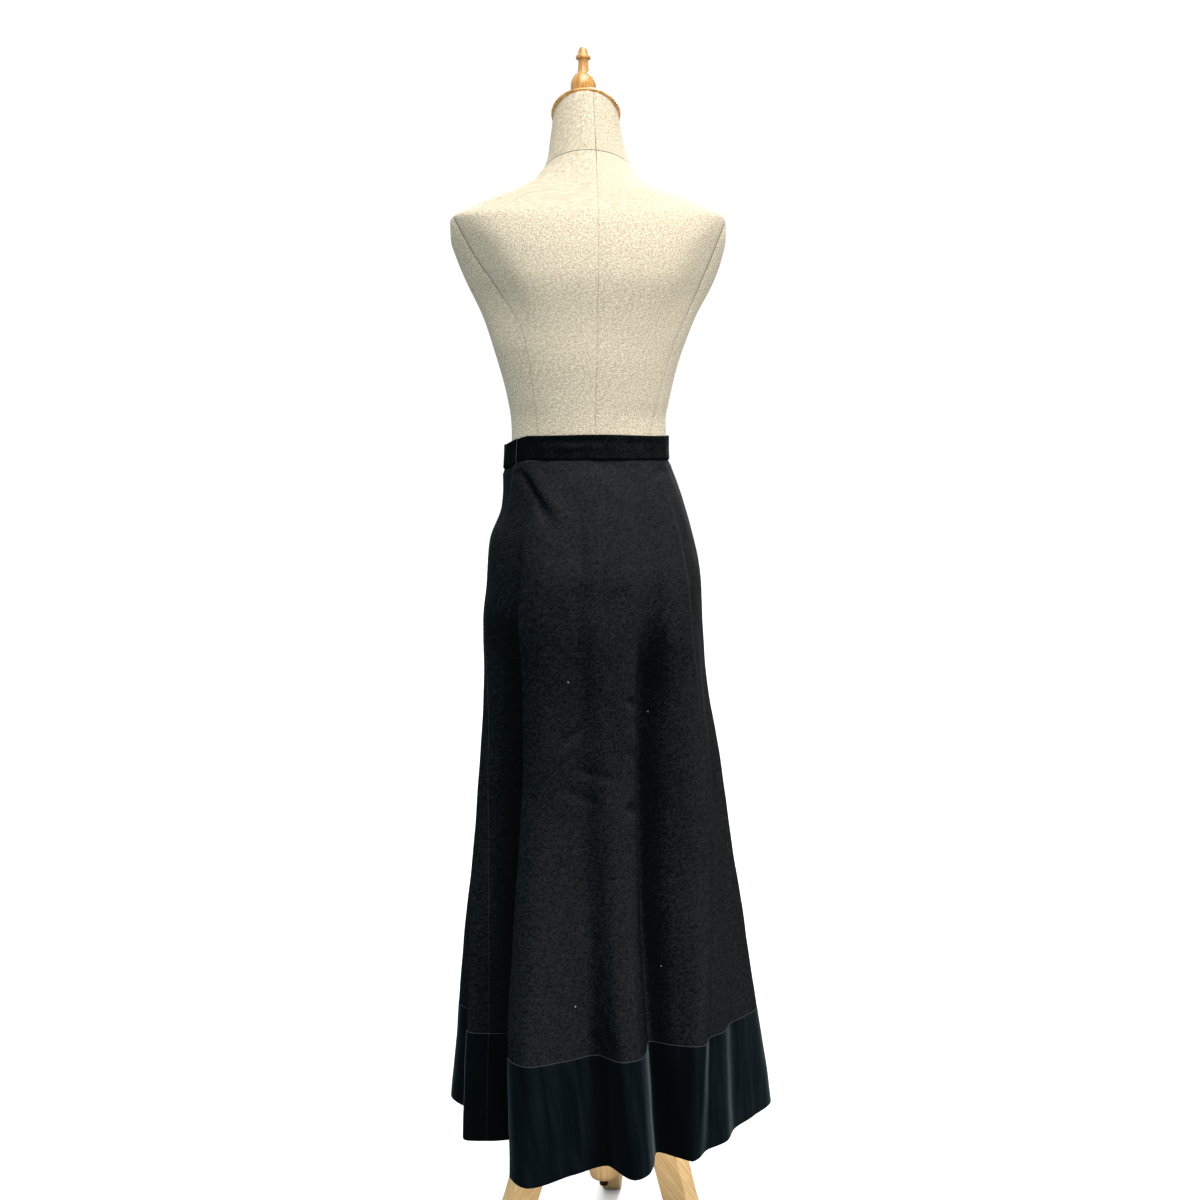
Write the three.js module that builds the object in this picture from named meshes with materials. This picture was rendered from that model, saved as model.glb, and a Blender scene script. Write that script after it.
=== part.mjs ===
// Flared maxi skirt with a velvet hem band, on a limbless dress form with a turned wooden stand.
// Millimetres, +Z up, floor at z = 0, origin under the foot of the stand's column.
// The skirt's back faces -Y. Angles are in degrees, anticlockwise seen from above, 270 at the back.
import * as THREE from 'three';

// Heights
const hemZ = 250;
const velvetSeamZ = 398;
const waistSeamZ = 1217;
const waistTopZ = 1252.6;

// Cloth
const clothThickness = 1.6;
const velvetThickness = 2.4;
const velvetProud = 0.5;
const waistbandThickness = 3;
const seamGap = 0.3;

// The waist sags at the closure on the wearer's left side
const waistDrop = { depth: 13, centre: 178, flat: 14, fade: 36, gone: 1085 };

// The waistband's two ends lap at the left side seam, the front end outside
const lap = { underEnd: 183, overEnd: 214 + 360, inset: 3.5, easeOut: 30 };

// Plan of the skirt's hanging form at each height, from the column's axis: the outermost
// reach to the left, right, back and front, before the folds
const skirtSections = [
  { z: 250, left: -232, right: 253, back: -250, front: 245 },
  { z: 409, left: -220, right: 229, back: -207, front: 216 },
  { z: 532, left: -210, right: 210, back: -174, front: 194 },
  { z: 655, left: -198, right: 191, back: -148, front: 171 },
  { z: 775, left: -186, right: 173, back: -135, front: 150 },
  { z: 865, left: -178, right: 157, back: -133, front: 134 },
  { z: 925, left: -177, right: 149, back: -136, front: 124 },
  { z: 984, left: -178, right: 144, back: -139, front: 119 },
  { z: 1043, left: -172, right: 141, back: -138, front: 115 },
  { z: 1101, left: -166, right: 131, back: -126, front: 108 },
  { z: 1160, left: -149, right: 115, back: -108, front: 97 },
  { z: 1190, left: -147, right: 104, back: -97, front: 90 },
  { z: 1217, left: -147, right: 95, back: -86, front: 84 },
  { z: 1253, left: -145, right: 93.5, back: -85, front: 83 },
];

// Lines that run down the cloth, anticlockwise from the right side seam: fold crests, valleys
// between them, and seams. Each has its angle (at) and its depth (out +, in -) at six heights,
// and the number of steps to the next line.
const drapeHeights = [250, 480, 760, 900, 1010, 1217];
const drapeLines = [
  { line: 'seamRight', at: [8, 7, 5, 4, 2, -14], out: [-6, -4, -2, -1, 0, 0], steps: 3 },
  { line: 'valleyFrontA', at: [22, 22, 22, 21, 19, 12], out: [-40, -30, -16, -7, 0, 0], steps: 4 },
  { line: 'crestFrontA', at: [40, 40, 39, 39, 38, 34], out: [-3, -2, 0, 0, 0, 0], steps: 4 },
  { line: 'valleyFrontB', at: [57, 57, 57, 57, 56, 54], out: [-50, -38, -22, -11, -1, 0], steps: 4 },
  { line: 'crestFrontB', at: [75, 75, 74, 74, 74, 74], out: [6, 4, 2, 1, 1, 0], steps: 4 },
  { line: 'valleyFrontC', at: [93, 92, 92, 92, 92, 92], out: [-42, -32, -18, -8, -1, 0], steps: 4 },
  { line: 'crestFrontC', at: [109, 109, 109, 108, 108, 106], out: [2, 2, 1, 0, 0, 0], steps: 4 },
  { line: 'valleyFrontD', at: [126, 126, 125, 125, 124, 124], out: [-54, -42, -24, -12, -1, 0], steps: 4 },
  { line: 'crestFrontD', at: [143, 142, 141, 141, 140, 142], out: [-2, -2, -1, 0, 0, 0], steps: 4 },
  { line: 'valleyFrontE', at: [158, 157, 155, 153, 151, 156], out: [-34, -24, -12, -5, 0, 0], steps: 3 },
  { line: 'crestSide', at: [173, 171, 166, 164, 162, 168], out: [3, 1, 0, 0, 0, 0], steps: 4 },
  { line: 'valleySide', at: [196, 190, 180, 175, 170, 180], out: [-46, -30, -10, -3, 0, 0], steps: 3 },
  { line: 'crestSideSeam', at: [210, 205, 191, 184, 178, 196], out: [2, 1, -1, -1, 0, 0], steps: 2 },
  { line: 'seamLeft', at: [215.5, 212, 201, 193, 186, 213], out: [-24, -18, -8, -4, -1, 0], steps: 5 },
  { line: 'valleyLeft', at: [228, 227.5, 226, 225, 225, 224], out: [-90, -86, -72, -52, -12, 0], steps: 4 },
  { line: 'edgeLeft', at: [239.5, 235, 234, 233.5, 233.5, 236], out: [30, 18, 6, 6, 8, 0], steps: 2 },
  { line: 'crestLeft', at: [246, 243, 243, 243, 243, 244], out: [46, 30, 11, 8, 10, 0], steps: 3 },
  { line: 'slopeLeft', at: [256, 254, 254, 254, 254, 254], out: [-8, 4, 4, 3, 5, 0], steps: 3 },
  { line: 'valleyMiddle', at: [268, 264.5, 263.5, 264, 264, 264], out: [-44, -21, -3, -1, -1, 0], steps: 3 },
  { line: 'crestMiddle', at: [277.5, 275, 273, 272, 271, 268.5], out: [0, -2, 2, 1, 1, 0], steps: 2 },
  { line: 'seamBack', at: [282.5, 280.6, 279, 277.3, 275.5, 272.5], out: [-12, -6, 0, 1, 1, 0], steps: 2 },
  { line: 'edgeRight', at: [285.5, 283.8, 285.5, 288, 291, 288], out: [-30, -17, -5, -1, 0, 0], steps: 3 },
  { line: 'valleyRight', at: [292, 292, 295, 299, 303, 300], out: [-70, -67, -54, -38, -8, 0], steps: 4 },
  { line: 'slopeRight', at: [297.5, 303, 311, 315, 314, 311], out: [-44, -37, -26, -12, 3, 0], steps: 3 },
  { line: 'crestRight', at: [301, 315, 328, 330, 325, 321], out: [-23, -12, -3, 2, 7, 0], steps: 3 },
  { line: 'dipRightA', at: [312, 323, 335, 337, 333, 328], out: [-38, -26, -12, -5, -1, 0], steps: 3 },
  { line: 'waveRight', at: [322, 331, 341, 342, 340, 333], out: [-34, -24, -12, -5, -1, 0], steps: 3 },
  { line: 'dipRightB', at: [333, 340, 347, 348, 348, 338], out: [-43, -28, -13, -6, -1, 0], steps: 3 },
  { line: 'shoulderRight', at: [347, 351, 354, 354, 354, 341], out: [-26, -15, -6, -3, 0, 0], steps: 3 },
  { line: 'crestRightSide', at: [362, 361, 360, 360, 359, 344], out: [0, 0, 0, 0, 0, 0], steps: 2 },
];

// Row heights of the cloth panels and of the velvet band
const panelRows = [
  velvetSeamZ, 470, 560, 655, 750, 835, 910, 970, 1025, 1080, 1130, 1170, 1198, waistSeamZ,
];
const bandRows = [hemZ, 298, 350, velvetSeamZ];

// Plan of the dress form at each height, in the same terms as the skirt's
const formSections = [
  { z: 958, left: -118, right: 96, back: -78, front: 70, square: 2 },
  { z: 966, left: -136, right: 112, back: -98, front: 86, square: 2 },
  { z: 985, left: -150, right: 124, back: -116, front: 96, square: 2 },
  { z: 1043, left: -157, right: 130, back: -123, front: 101, square: 2 },
  { z: 1101, left: -151, right: 119, back: -115, front: 97, square: 2 },
  { z: 1160, left: -142, right: 104, back: -100, front: 88, square: 2 },
  { z: 1217, left: -135.6, right: 91.2, back: -81.5, front: 79.6, square: 2 },
  { z: 1255, left: -133.6, right: 89.8, back: -80.5, front: 78.8, square: 2 },
  { z: 1275, left: -134.5, right: 89, back: -82, front: 81, square: 2 },
  { z: 1304, left: -139, right: 94, back: -86, front: 86, square: 2.1 },
  { z: 1361, left: -154, right: 108, back: -97, front: 101, square: 2.1 },
  { z: 1418, left: -174, right: 131, back: -107, front: 116, square: 2.2 },
  { z: 1474, left: -201, right: 161, back: -113, front: 119, square: 2.35 },
  { z: 1503, left: -213, right: 171, back: -113, front: 112, square: 2.35 },
  { z: 1531, left: -221, right: 176, back: -110, front: 98, square: 2.35 },
  { z: 1556, left: -221, right: 174.5, back: -103, front: 82, square: 2.35 },
  { z: 1573, left: -193, right: 154, back: -92, front: 69, square: 2.15 },
  { z: 1587, left: -161, right: 118, back: -84, front: 60, square: 2.15 },
  { z: 1601, left: -124, right: 80, back: -74, front: 54, square: 2.15 },
  { z: 1615, left: -98, right: 55, back: -67, front: 48, square: 2.15 },
  { z: 1643, left: -81, right: 35, back: -57, front: 42, square: 2 },
  { z: 1670, left: -77, right: 27, back: -52, front: 36, square: 2 },
  { z: 1702, left: -73, right: 21, back: -48, front: 31, square: 2 },
];
const formColumns = 48;

// Each armhole is a flat face that takes the corner off the shoulder and fades out below
const armholeFade = { from: 1370, full: 1450 };
const armholes = [
  { normal: [-0.72, -0.6, -0.34], through: [-214, -40, 1552] },
  { normal: [0.8, -0.5, -0.34], through: [171, -36, 1545] },
];

// Neck end, cap and finial
const neckTilt = 33;
const neckTiltFrom = 1640;
const neckCentre = { x: -26, y: -8.5, z: 1702 };
const capSides = 40;
const capProfile = [
  { r: 0, z: 0 },
  { r: 47.5, z: 0 },
  { r: 49, z: 1.8 },
  { r: 48.2, z: 4.5 },
  { r: 44, z: 6 },
  { r: 0, z: 7.5 },
];
const finialSides = 24;
const finialAxisX = -29.5;
const finialRings = [
  { z: 1712, r: 17 },
  { z: 1727, r: 14.5 },
  { z: 1732, r: 16.4 },
  { z: 1741, r: 17.8 },
  { z: 1749, r: 17 },
  { z: 1755, r: 14 },
  { z: 1759.5, r: 9.5 },
  { z: 1762, r: 8.2 },
  { z: 1778, r: 7 },
  { z: 1780.5, r: 10.6 },
  { z: 1784, r: 10.2 },
  { z: 1785.5, r: 8.2 },
  { z: 1793, r: 6.4 },
  { z: 1796, r: 3.5 },
];

// Stand
const columnRadius = 22.5;
const columnFootZ = 130;
const columnSides = 24;
const columnFootRounding = [
  { r: 0, z: 0 },
  { r: 14, z: 1.5 },
  { r: 20.3, z: 6 },
  { r: columnRadius, z: 14 },
];
const legYaw = 3.8;
const legThickness = 30;
const legAttachTopZ = 318;
const legAttachBottomZ = 226;
const footReach = 275;
const footLength = 52;
const boltRadius = 6.5;
const boltLength = 10;
const boltSides = 12;

// The leg from the side, out from the column and up: curves with two handles and an end
const legUnderside = [
  { handles: [62, 240, 92, 200], end: [102, 166] },
  { handles: [113, 130, 126, 92], end: [158, 50] },
  { handles: [178, 26, 200, 8], end: [footReach - footLength, 0] },
];
const legUpperSide = [
  { handles: [279, 10, 269, 20], end: [257, 25] },
  { handles: [216, 42, 184, 84], end: [160, 131] },
  { handles: [146, 168, 132, 240], end: [96, 282] },
  { handles: [74, 308, 46, legAttachTopZ], end: [columnRadius + seamGap, legAttachTopZ] },
];

const degrees = Math.PI / 180;
const clothMaterial = new THREE.MeshStandardMaterial({ color: 0x0b0c0d, roughness: 0.9, metalness: 0 });
const velvetMaterial = new THREE.MeshStandardMaterial({ color: 0x05090a, roughness: 0.7, metalness: 0 });
const linenMaterial = new THREE.MeshStandardMaterial({ color: 0xcfc4aa, roughness: 0.95, metalness: 0 });
const honeyWood = new THREE.MeshStandardMaterial({ color: 0xc98a3a, roughness: 0.35, metalness: 0 });
const oakWood = new THREE.MeshStandardMaterial({ color: 0xc09455, roughness: 0.6, metalness: 0 });
const darkSteel = new THREE.MeshStandardMaterial({ color: 0x3a2a1c, roughness: 0.5, metalness: 0.6 });

// Slopes of a smooth curve through knots that never overshoots them
function smoothSlopes(xs, ys) {
  const slopes = xs.map(() => 0);
  for (let i = 1; i < xs.length - 1; i += 1) {
    const before = xs[i] - xs[i - 1];
    const after = xs[i + 1] - xs[i];
    const riseBefore = (ys[i] - ys[i - 1]) / before;
    const riseAfter = (ys[i + 1] - ys[i]) / after;
    if (riseBefore * riseAfter > 0) {
      const weightBefore = 2 * after + before;
      const weightAfter = after + 2 * before;
      slopes[i] = (weightBefore + weightAfter) / (weightBefore / riseBefore + weightAfter / riseAfter);
    }
  }
  const last = xs.length - 1;
  slopes[0] = (ys[1] - ys[0]) / (xs[1] - xs[0]);
  slopes[last] = (ys[last] - ys[last - 1]) / (xs[last] - xs[last - 1]);
  return slopes;
}

function smoothThrough(xs, ys) {
  const slopes = smoothSlopes(xs, ys);
  return (x) => {
    let i = 0;
    while (i < xs.length - 2 && x > xs[i + 1]) {
      i += 1;
    }
    const span = xs[i + 1] - xs[i];
    const t = THREE.MathUtils.clamp((x - xs[i]) / span, 0, 1);
    const t2 = t * t;
    const t3 = t2 * t;
    return (2 * t3 - 3 * t2 + 1) * ys[i] + (t3 - 2 * t2 + t) * span * slopes[i]
      + (3 * t2 - 2 * t3) * ys[i + 1] + (t3 - t2) * span * slopes[i + 1];
  };
}

// The plan at any height, from a table of sections
function planOf(sections) {
  const heights = sections.map((row) => row.z);
  const curves = {};
  for (const key of ['left', 'right', 'back', 'front']) {
    curves[key] = smoothThrough(heights, sections.map((row) => row[key]));
  }
  return (z) => {
    const left = curves.left(z);
    const right = curves.right(z);
    return { x: (left + right) / 2, half: (right - left) / 2, back: -curves.back(z), front: curves.front(z) };
  };
}

const skirtPlan = planOf(skirtSections);
const formPlan = planOf(formSections);
const drapeCurves = drapeLines.map((row) => ({
  angle: smoothThrough(drapeHeights, row.at),
  depth: smoothThrough(drapeHeights, row.out),
}));

// The ring of cloth at one height: its fold lines' angles, and its outline as a function of angle
function skirtRing(z) {
  const plan = skirtPlan(z);
  const angles = drapeCurves.map((curve) => curve.angle(z));
  const depths = drapeCurves.map((curve) => curve.depth(z));
  const count = angles.length;
  const wrap = 3;
  const knots = [];
  const values = [];
  for (let i = -wrap; i < count + wrap; i += 1) {
    const turn = Math.floor(i / count);
    const index = i - turn * count;
    knots.push(angles[index] + 360 * turn);
    values.push(depths[index]);
  }
  const depthAt = smoothThrough(knots, values);
  const pointAt = (angle) => {
    const level = angle - 360 * Math.floor((angle - angles[0]) / 360);
    const depth = depthAt(level);
    const c = Math.cos(angle * degrees);
    const s = Math.sin(angle * degrees);
    const reach = s < 0 ? plan.back : plan.front;
    return new THREE.Vector2(plan.x + (plan.half + depth) * c, (reach + depth) * s);
  };
  return { angles, pointAt };
}

// A point of the ring, moved outwards by a distance and along the ring by another
function ringPoint(ring, angle, outwards, along) {
  const step = 0.15;
  const tangent = ring.pointAt(angle + step).sub(ring.pointAt(angle - step)).normalize();
  const point = ring.pointAt(angle).addScaledVector(tangent, along);
  return point.add(new THREE.Vector2(tangent.y, -tangent.x).multiplyScalar(outwards));
}

// How far the waist has dropped at an angle and height
function dropAt(angle, z) {
  const away = Math.abs(THREE.MathUtils.euclideanModulo(angle - waistDrop.centre + 180, 360) - 180);
  const around = 1 - THREE.MathUtils.smoothstep(away, waistDrop.flat, waistDrop.flat + waistDrop.fade);
  return waistDrop.depth * around * THREE.MathUtils.smoothstep(z, waistDrop.gone, waistSeamZ);
}

// A closed wall from a grid of outer and inner points, rows upwards and columns anticlockwise
function wallGeometry(rowCount, columnCount, place) {
  const positions = [];
  const index = [];
  for (const side of [0, 1]) {
    for (let row = 0; row < rowCount; row += 1) {
      for (let column = 0; column < columnCount; column += 1) {
        positions.push(...place(row, column, side));
      }
    }
  }
  const at = (row, column, side) => (side * rowCount + row) * columnCount + column;
  const quad = (a, b, c, d) => index.push(a, b, c, a, c, d);
  const top = rowCount - 1;
  const end = columnCount - 1;
  for (let row = 0; row < top; row += 1) {
    for (let column = 0; column < end; column += 1) {
      quad(at(row, column, 0), at(row, column + 1, 0), at(row + 1, column + 1, 0), at(row + 1, column, 0));
      quad(at(row, column, 1), at(row + 1, column, 1), at(row + 1, column + 1, 1), at(row, column + 1, 1));
    }
    quad(at(row, 0, 0), at(row + 1, 0, 0), at(row + 1, 0, 1), at(row, 0, 1));
    quad(at(row, end, 0), at(row, end, 1), at(row + 1, end, 1), at(row + 1, end, 0));
  }
  for (let column = 0; column < end; column += 1) {
    quad(at(0, column, 0), at(0, column, 1), at(0, column + 1, 1), at(0, column + 1, 0));
    quad(at(top, column, 0), at(top, column + 1, 0), at(top, column + 1, 1), at(top, column, 1));
  }
  return closedGeometry(positions, index);
}

// A closed solid through rings of points, from the lowest ring up
function loftGeometry(rings) {
  const positions = [];
  const index = [];
  const columns = rings[0].length;
  rings.forEach((ring) => ring.forEach((point) => positions.push(...point)));
  const at = (row, column) => row * columns + (column % columns);
  for (let row = 0; row < rings.length - 1; row += 1) {
    for (let column = 0; column < columns; column += 1) {
      index.push(at(row, column), at(row, column + 1), at(row + 1, column + 1));
      index.push(at(row, column), at(row + 1, column + 1), at(row + 1, column));
    }
  }
  const caps = [[0, false], [rings.length - 1, true]];
  for (const [row, upwards] of caps) {
    const centre = positions.length / 3;
    const middle = [0, 1, 2].map((axis) => rings[row].reduce((sum, point) => sum + point[axis], 0) / columns);
    positions.push(...middle);
    for (let column = 0; column < columns; column += 1) {
      const pair = upwards ? [at(row, column), at(row, column + 1)] : [at(row, column + 1), at(row, column)];
      index.push(centre, ...pair);
    }
  }
  return closedGeometry(positions, index);
}

function closedGeometry(positions, index) {
  const geometry = new THREE.BufferGeometry();
  geometry.setAttribute('position', new THREE.Float32BufferAttribute(positions, 3));
  geometry.setIndex(index);
  geometry.computeVertexNormals();
  return geometry;
}

// The columns of one panel at one height: angles from one seam line to the next
function columnAngles(ring, from, to) {
  const count = drapeLines.length;
  const angles = [];
  for (let i = from; i < to; i += 1) {
    const turn = Math.floor(i / count);
    const nextTurn = Math.floor((i + 1) / count);
    const start = ring.angles[i - turn * count] + 360 * turn;
    const finish = ring.angles[i + 1 - nextTurn * count] + 360 * nextTurn;
    const steps = drapeLines[i - turn * count].steps;
    for (let step = 0; step < steps; step += 1) {
      angles.push(start + ((finish - start) * step) / steps);
    }
    if (i === to - 1) {
      angles.push(finish);
    }
  }
  return angles;
}

// A cloth panel between two seam lines
function panelGeometry(from, to, rows, thickness, proud) {
  const levels = rows.map((z) => {
    const ring = skirtRing(z);
    return { ring, columns: columnAngles(ring, from, to) };
  });
  const last = levels[0].columns.length - 1;
  return wallGeometry(rows.length, last + 1, (row, column, side) => {
    const { ring, columns } = levels[row];
    const angle = columns[column];
    const along = column === 0 ? seamGap / 2 : column === last ? -seamGap / 2 : 0;
    const point = ringPoint(ring, angle, proud - side * thickness, along);
    const trim = row === 0 ? seamGap / 2 : row === rows.length - 1 ? -seamGap / 2 : 0;
    const z = rows[row] === hemZ ? hemZ : rows[row] + trim;
    return [point.x, point.y, z - dropAt(angle, rows[row])];
  });
}

function waistbandGeometry() {
  const stepAngle = 6;
  const columns = Math.round((lap.overEnd - lap.underEnd) / stepAngle);
  const rows = [waistSeamZ, (waistSeamZ + waistTopZ) / 2, waistTopZ];
  const rings = rows.map(skirtRing);
  return wallGeometry(rows.length, columns + 1, (row, column, side) => {
    const angle = lap.underEnd + ((lap.overEnd - lap.underEnd) * column) / columns;
    const underEndsAt = lap.overEnd - 360;
    const inset = lap.inset * (1 - THREE.MathUtils.smoothstep(angle, underEndsAt, underEndsAt + lap.easeOut));
    const point = ringPoint(rings[row], angle, -inset - side * waistbandThickness, 0);
    const lift = row === 0 ? seamGap / 2 : 0;
    return [point.x, point.y, rows[row] + lift - dropAt(angle, waistSeamZ)];
  });
}

function torsoGeometry() {
  const rings = formSections.map((section) => {
    const plan = formPlan(section.z);
    const slope = Math.tan(neckTilt * degrees)
      * THREE.MathUtils.smoothstep(section.z, neckTiltFrom, neckCentre.z);
    return ringOfForm(plan, section).map(([x, y, z]) => {
      const point = new THREE.Vector3(x, y, z - slope * (y - neckCentre.y));
      const share = THREE.MathUtils.smoothstep(z, armholeFade.from, armholeFade.full);
      armholes.forEach(({ normal, through }) => {
        const direction = new THREE.Vector3(...normal).normalize();
        const beyond = point.clone().sub(new THREE.Vector3(...through)).dot(direction);
        if (beyond > 0) {
          point.addScaledVector(direction, -beyond * share);
        }
      });
      return point.toArray();
    });
  });
  return loftGeometry(rings);
}

function ringOfForm(plan, { z, square }) {
  const power = 2 / square;
  return Array.from({ length: formColumns }, (_, column) => {
    const angle = (2 * Math.PI * column) / formColumns;
    const c = Math.cos(angle);
    const s = Math.sin(angle);
    const reach = s < 0 ? plan.back : plan.front;
    return [
      plan.x + plan.half * Math.sign(c) * Math.abs(c) ** power,
      reach * Math.sign(s) * Math.abs(s) ** power,
      z,
    ];
  });
}

function latheGeometry(profile, sides) {
  const points = profile.map(({ r, z }) => new THREE.Vector2(r, z));
  return new THREE.LatheGeometry(points, sides).rotateX(Math.PI / 2);
}

function finialGeometry() {
  const slope = Math.tan(neckTilt * degrees);
  const rings = finialRings.map(({ z, r }, row) => Array.from({ length: finialSides }, (_, side) => {
    const angle = (2 * Math.PI * side) / finialSides;
    const y = neckCentre.y + r * Math.sin(angle);
    const drop = row === 0 ? slope * (y - neckCentre.y) : 0;
    return [finialAxisX + r * Math.cos(angle), y, z - drop];
  }));
  return loftGeometry(rings);
}

function legGeometry() {
  const outline = new THREE.Shape();
  outline.moveTo(columnRadius + seamGap, legAttachBottomZ);
  legUnderside.forEach(({ handles, end }) => outline.bezierCurveTo(...handles, ...end));
  outline.lineTo(footReach, 0);
  legUpperSide.forEach(({ handles, end }) => outline.bezierCurveTo(...handles, ...end));
  outline.closePath();
  const settings = { depth: legThickness, bevelEnabled: false, curveSegments: 5 };
  return new THREE.ExtrudeGeometry(outline, settings).translate(0, 0, -legThickness / 2).rotateX(Math.PI / 2);
}

const part = new THREE.Group();

function addPiece(name, geometry, material) {
  const mesh = new THREE.Mesh(geometry, material);
  mesh.name = name;
  part.add(mesh);
  return mesh;
}

const lineIndex = (name) => drapeLines.findIndex((row) => row.line === name);
const leftSeam = lineIndex('seamLeft');
const backSeam = lineIndex('seamBack');
const rightSeam = lineIndex('seamRight');
const fullTurn = drapeLines.length;

// Each cut length: its seam lines anticlockwise, rows, thickness, how proud it stands, and finish
const clothCut = { rows: panelRows, thickness: clothThickness, proud: 0, material: clothMaterial };
const velvetCut = {
  rows: bandRows,
  thickness: velvetThickness,
  proud: velvetProud,
  material: velvetMaterial,
};
const lengths = [
  { name: 'front', from: rightSeam, to: leftSeam, ...clothCut },
  { name: 'back_left', from: leftSeam, to: backSeam, ...clothCut },
  { name: 'back_right', from: backSeam, to: rightSeam + fullTurn, ...clothCut },
  { name: 'velvet_band_front', from: rightSeam, to: leftSeam, ...velvetCut },
  { name: 'velvet_band_back', from: leftSeam, to: rightSeam + fullTurn, ...velvetCut },
];
for (const { name, from, to, rows, thickness, proud, material } of lengths) {
  addPiece(name, panelGeometry(from, to, rows, thickness, proud), material);
}
addPiece('waistband', waistbandGeometry(), clothMaterial);
addPiece('torso', torsoGeometry(), linenMaterial);

const capTilt = -neckTilt * degrees;
const neckCap = addPiece('neck_cap', latheGeometry(capProfile, capSides), honeyWood);
neckCap.rotation.x = capTilt;
neckCap.position.set(neckCentre.x, neckCentre.y, neckCentre.z + seamGap / Math.cos(capTilt));

addPiece('finial', finialGeometry(), honeyWood);

const columnLength = formSections[0].z - seamGap - columnFootZ;
const columnProfile = [
  ...columnFootRounding,
  { r: columnRadius, z: columnLength },
  { r: 0, z: columnLength },
];
const column = addPiece('column', latheGeometry(columnProfile, columnSides), oakWood);
column.position.set(0, 0, columnFootZ);

const legs = [
  { name: 'leg_left', angle: 210 - legYaw },
  { name: 'leg_right', angle: 330 - legYaw },
  { name: 'leg_rear', angle: 90 - legYaw },
];
for (const { name, angle } of legs) {
  const leg = addPiece(name, legGeometry(), oakWood);
  leg.rotation.z = angle * degrees;
}

const boltGeometry = new THREE.CylinderGeometry(boltRadius, boltRadius, boltLength, boltSides);
const bolt = addPiece('column_bolt', boltGeometry, darkSteel);
bolt.rotation.x = Math.PI / 2;
bolt.position.set(0, 0, columnFootZ - seamGap - boltLength / 2);

export default part;
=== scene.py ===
import math
import time

import bpy
import numpy as np
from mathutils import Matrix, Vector


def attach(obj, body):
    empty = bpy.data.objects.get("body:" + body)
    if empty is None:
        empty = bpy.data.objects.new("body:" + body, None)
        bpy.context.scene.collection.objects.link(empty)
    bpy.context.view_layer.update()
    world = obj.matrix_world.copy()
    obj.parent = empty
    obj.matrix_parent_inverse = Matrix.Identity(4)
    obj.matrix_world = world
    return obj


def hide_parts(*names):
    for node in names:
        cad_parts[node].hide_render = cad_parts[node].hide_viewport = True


# Flared maxi skirt with a velvet hem band, on a limbless dress form with a wooden stand.
# Metres, +Z up, floor at z = 0, the skirt's back faces -Y. Angles are in degrees, anticlockwise
# seen from above, 270 at the back. Tables of sizes are in millimetres.

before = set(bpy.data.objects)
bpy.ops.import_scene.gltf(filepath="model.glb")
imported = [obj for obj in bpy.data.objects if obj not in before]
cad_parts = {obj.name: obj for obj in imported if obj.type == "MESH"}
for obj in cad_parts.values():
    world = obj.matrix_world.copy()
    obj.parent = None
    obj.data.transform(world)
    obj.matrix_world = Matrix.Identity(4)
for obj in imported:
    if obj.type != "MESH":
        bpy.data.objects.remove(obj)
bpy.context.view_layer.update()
started = time.time()
mm = 0.001


def report(stage):
    print(f"[skirt] {stage}: {time.time() - started:.1f} s")


def addObject(name, data):
    piece = bpy.data.objects.new(name, data)
    bpy.context.scene.collection.objects.link(piece)
    return piece


# A node's inputs are given by name or number, each as a value or as the output linked to it

def feed(tree, node, inputs):
    for name, value in inputs.items():
        if isinstance(value, bpy.types.NodeSocket):
            tree.links.new(value, node.inputs[name])
        else:
            node.inputs[name].default_value = value


def addNode(tree, kind, inputs=None, **settings):
    node = tree.nodes.new(kind)
    for name, value in settings.items():
        setattr(node, name, value)
    feed(tree, node, inputs or {})
    return node


# Camera, light and floor

cameraPitch = 5.65
darkFrom = 0.0165
darkTo = (0.0032, 0.0041, 0.0045)
floorHalf = 15.0
warmWhite = (1.0, 0.955, 0.92)
plainWhite = (1.0, 1.0, 1.0)
coolWhite = (0.72, 0.90, 1.0)
suns = [  # name, strength, angle it fills, colour and the direction it comes from
    ("softSun", 1.7, 50.0, warmWhite, (0.20, -0.50, 1.80)),
    ("farSideSun", 3.4, 30.0, plainWhite, (0.25, 1.0, 0.62)),
]
softboxes = [  # name, watts, width, height, colour, place and the point it faces
    ("highSoftbox", 21.5, 1.3, 1.0, warmWhite, (0.14, -0.95, 2.65), (0, -0.1, 1.2)),
    ("tallSoftbox", 19.0, 0.5, 1.6, plainWhite, (1.65, -1.15, 1.05), (0, 0, 0.6)),
    ("coolSoftbox", 7.5, 0.5, 1.4, coolWhite, (-1.7, -1.0, 0.9), (0, 0, 0.6)),
    ("underHemFill", 0.7, 0.36, 0.36, plainWhite, (0, 0, 0.235), (0, 0, 0)),
]
litSky = {"Color": (0.88, 0.98, 1.0, 1.0), "Strength": 0.50}
seenSky = {"Color": (1.0, 1.0, 1.0, 1.0), "Strength": 1.05}
litFloor = {"Color": (0.16, 0.16, 0.16, 1.0)}
seenFloor = {"Color": (0.95, 0.95, 0.95, 1.0)}

cameraData = bpy.data.cameras.new("camera")
cameraData.lens = 45.3
cameraData.sensor_width = 36.0
camera = addObject("camera", cameraData)
camera.location = (-0.006, -2.2, 1.231)
camera.rotation_euler = (math.radians(90 - cameraPitch), 0, 0)
bpy.context.scene.camera = camera

view = bpy.context.scene.view_settings
view.view_transform = "Standard"
view.use_curve_mapping = True
for curve, level in zip(view.curve_mapping.curves, darkTo):
    darkEnd = curve.points.new(darkFrom, level)
    darkEnd.handle_type = "VECTOR"
view.curve_mapping.update()


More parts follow.
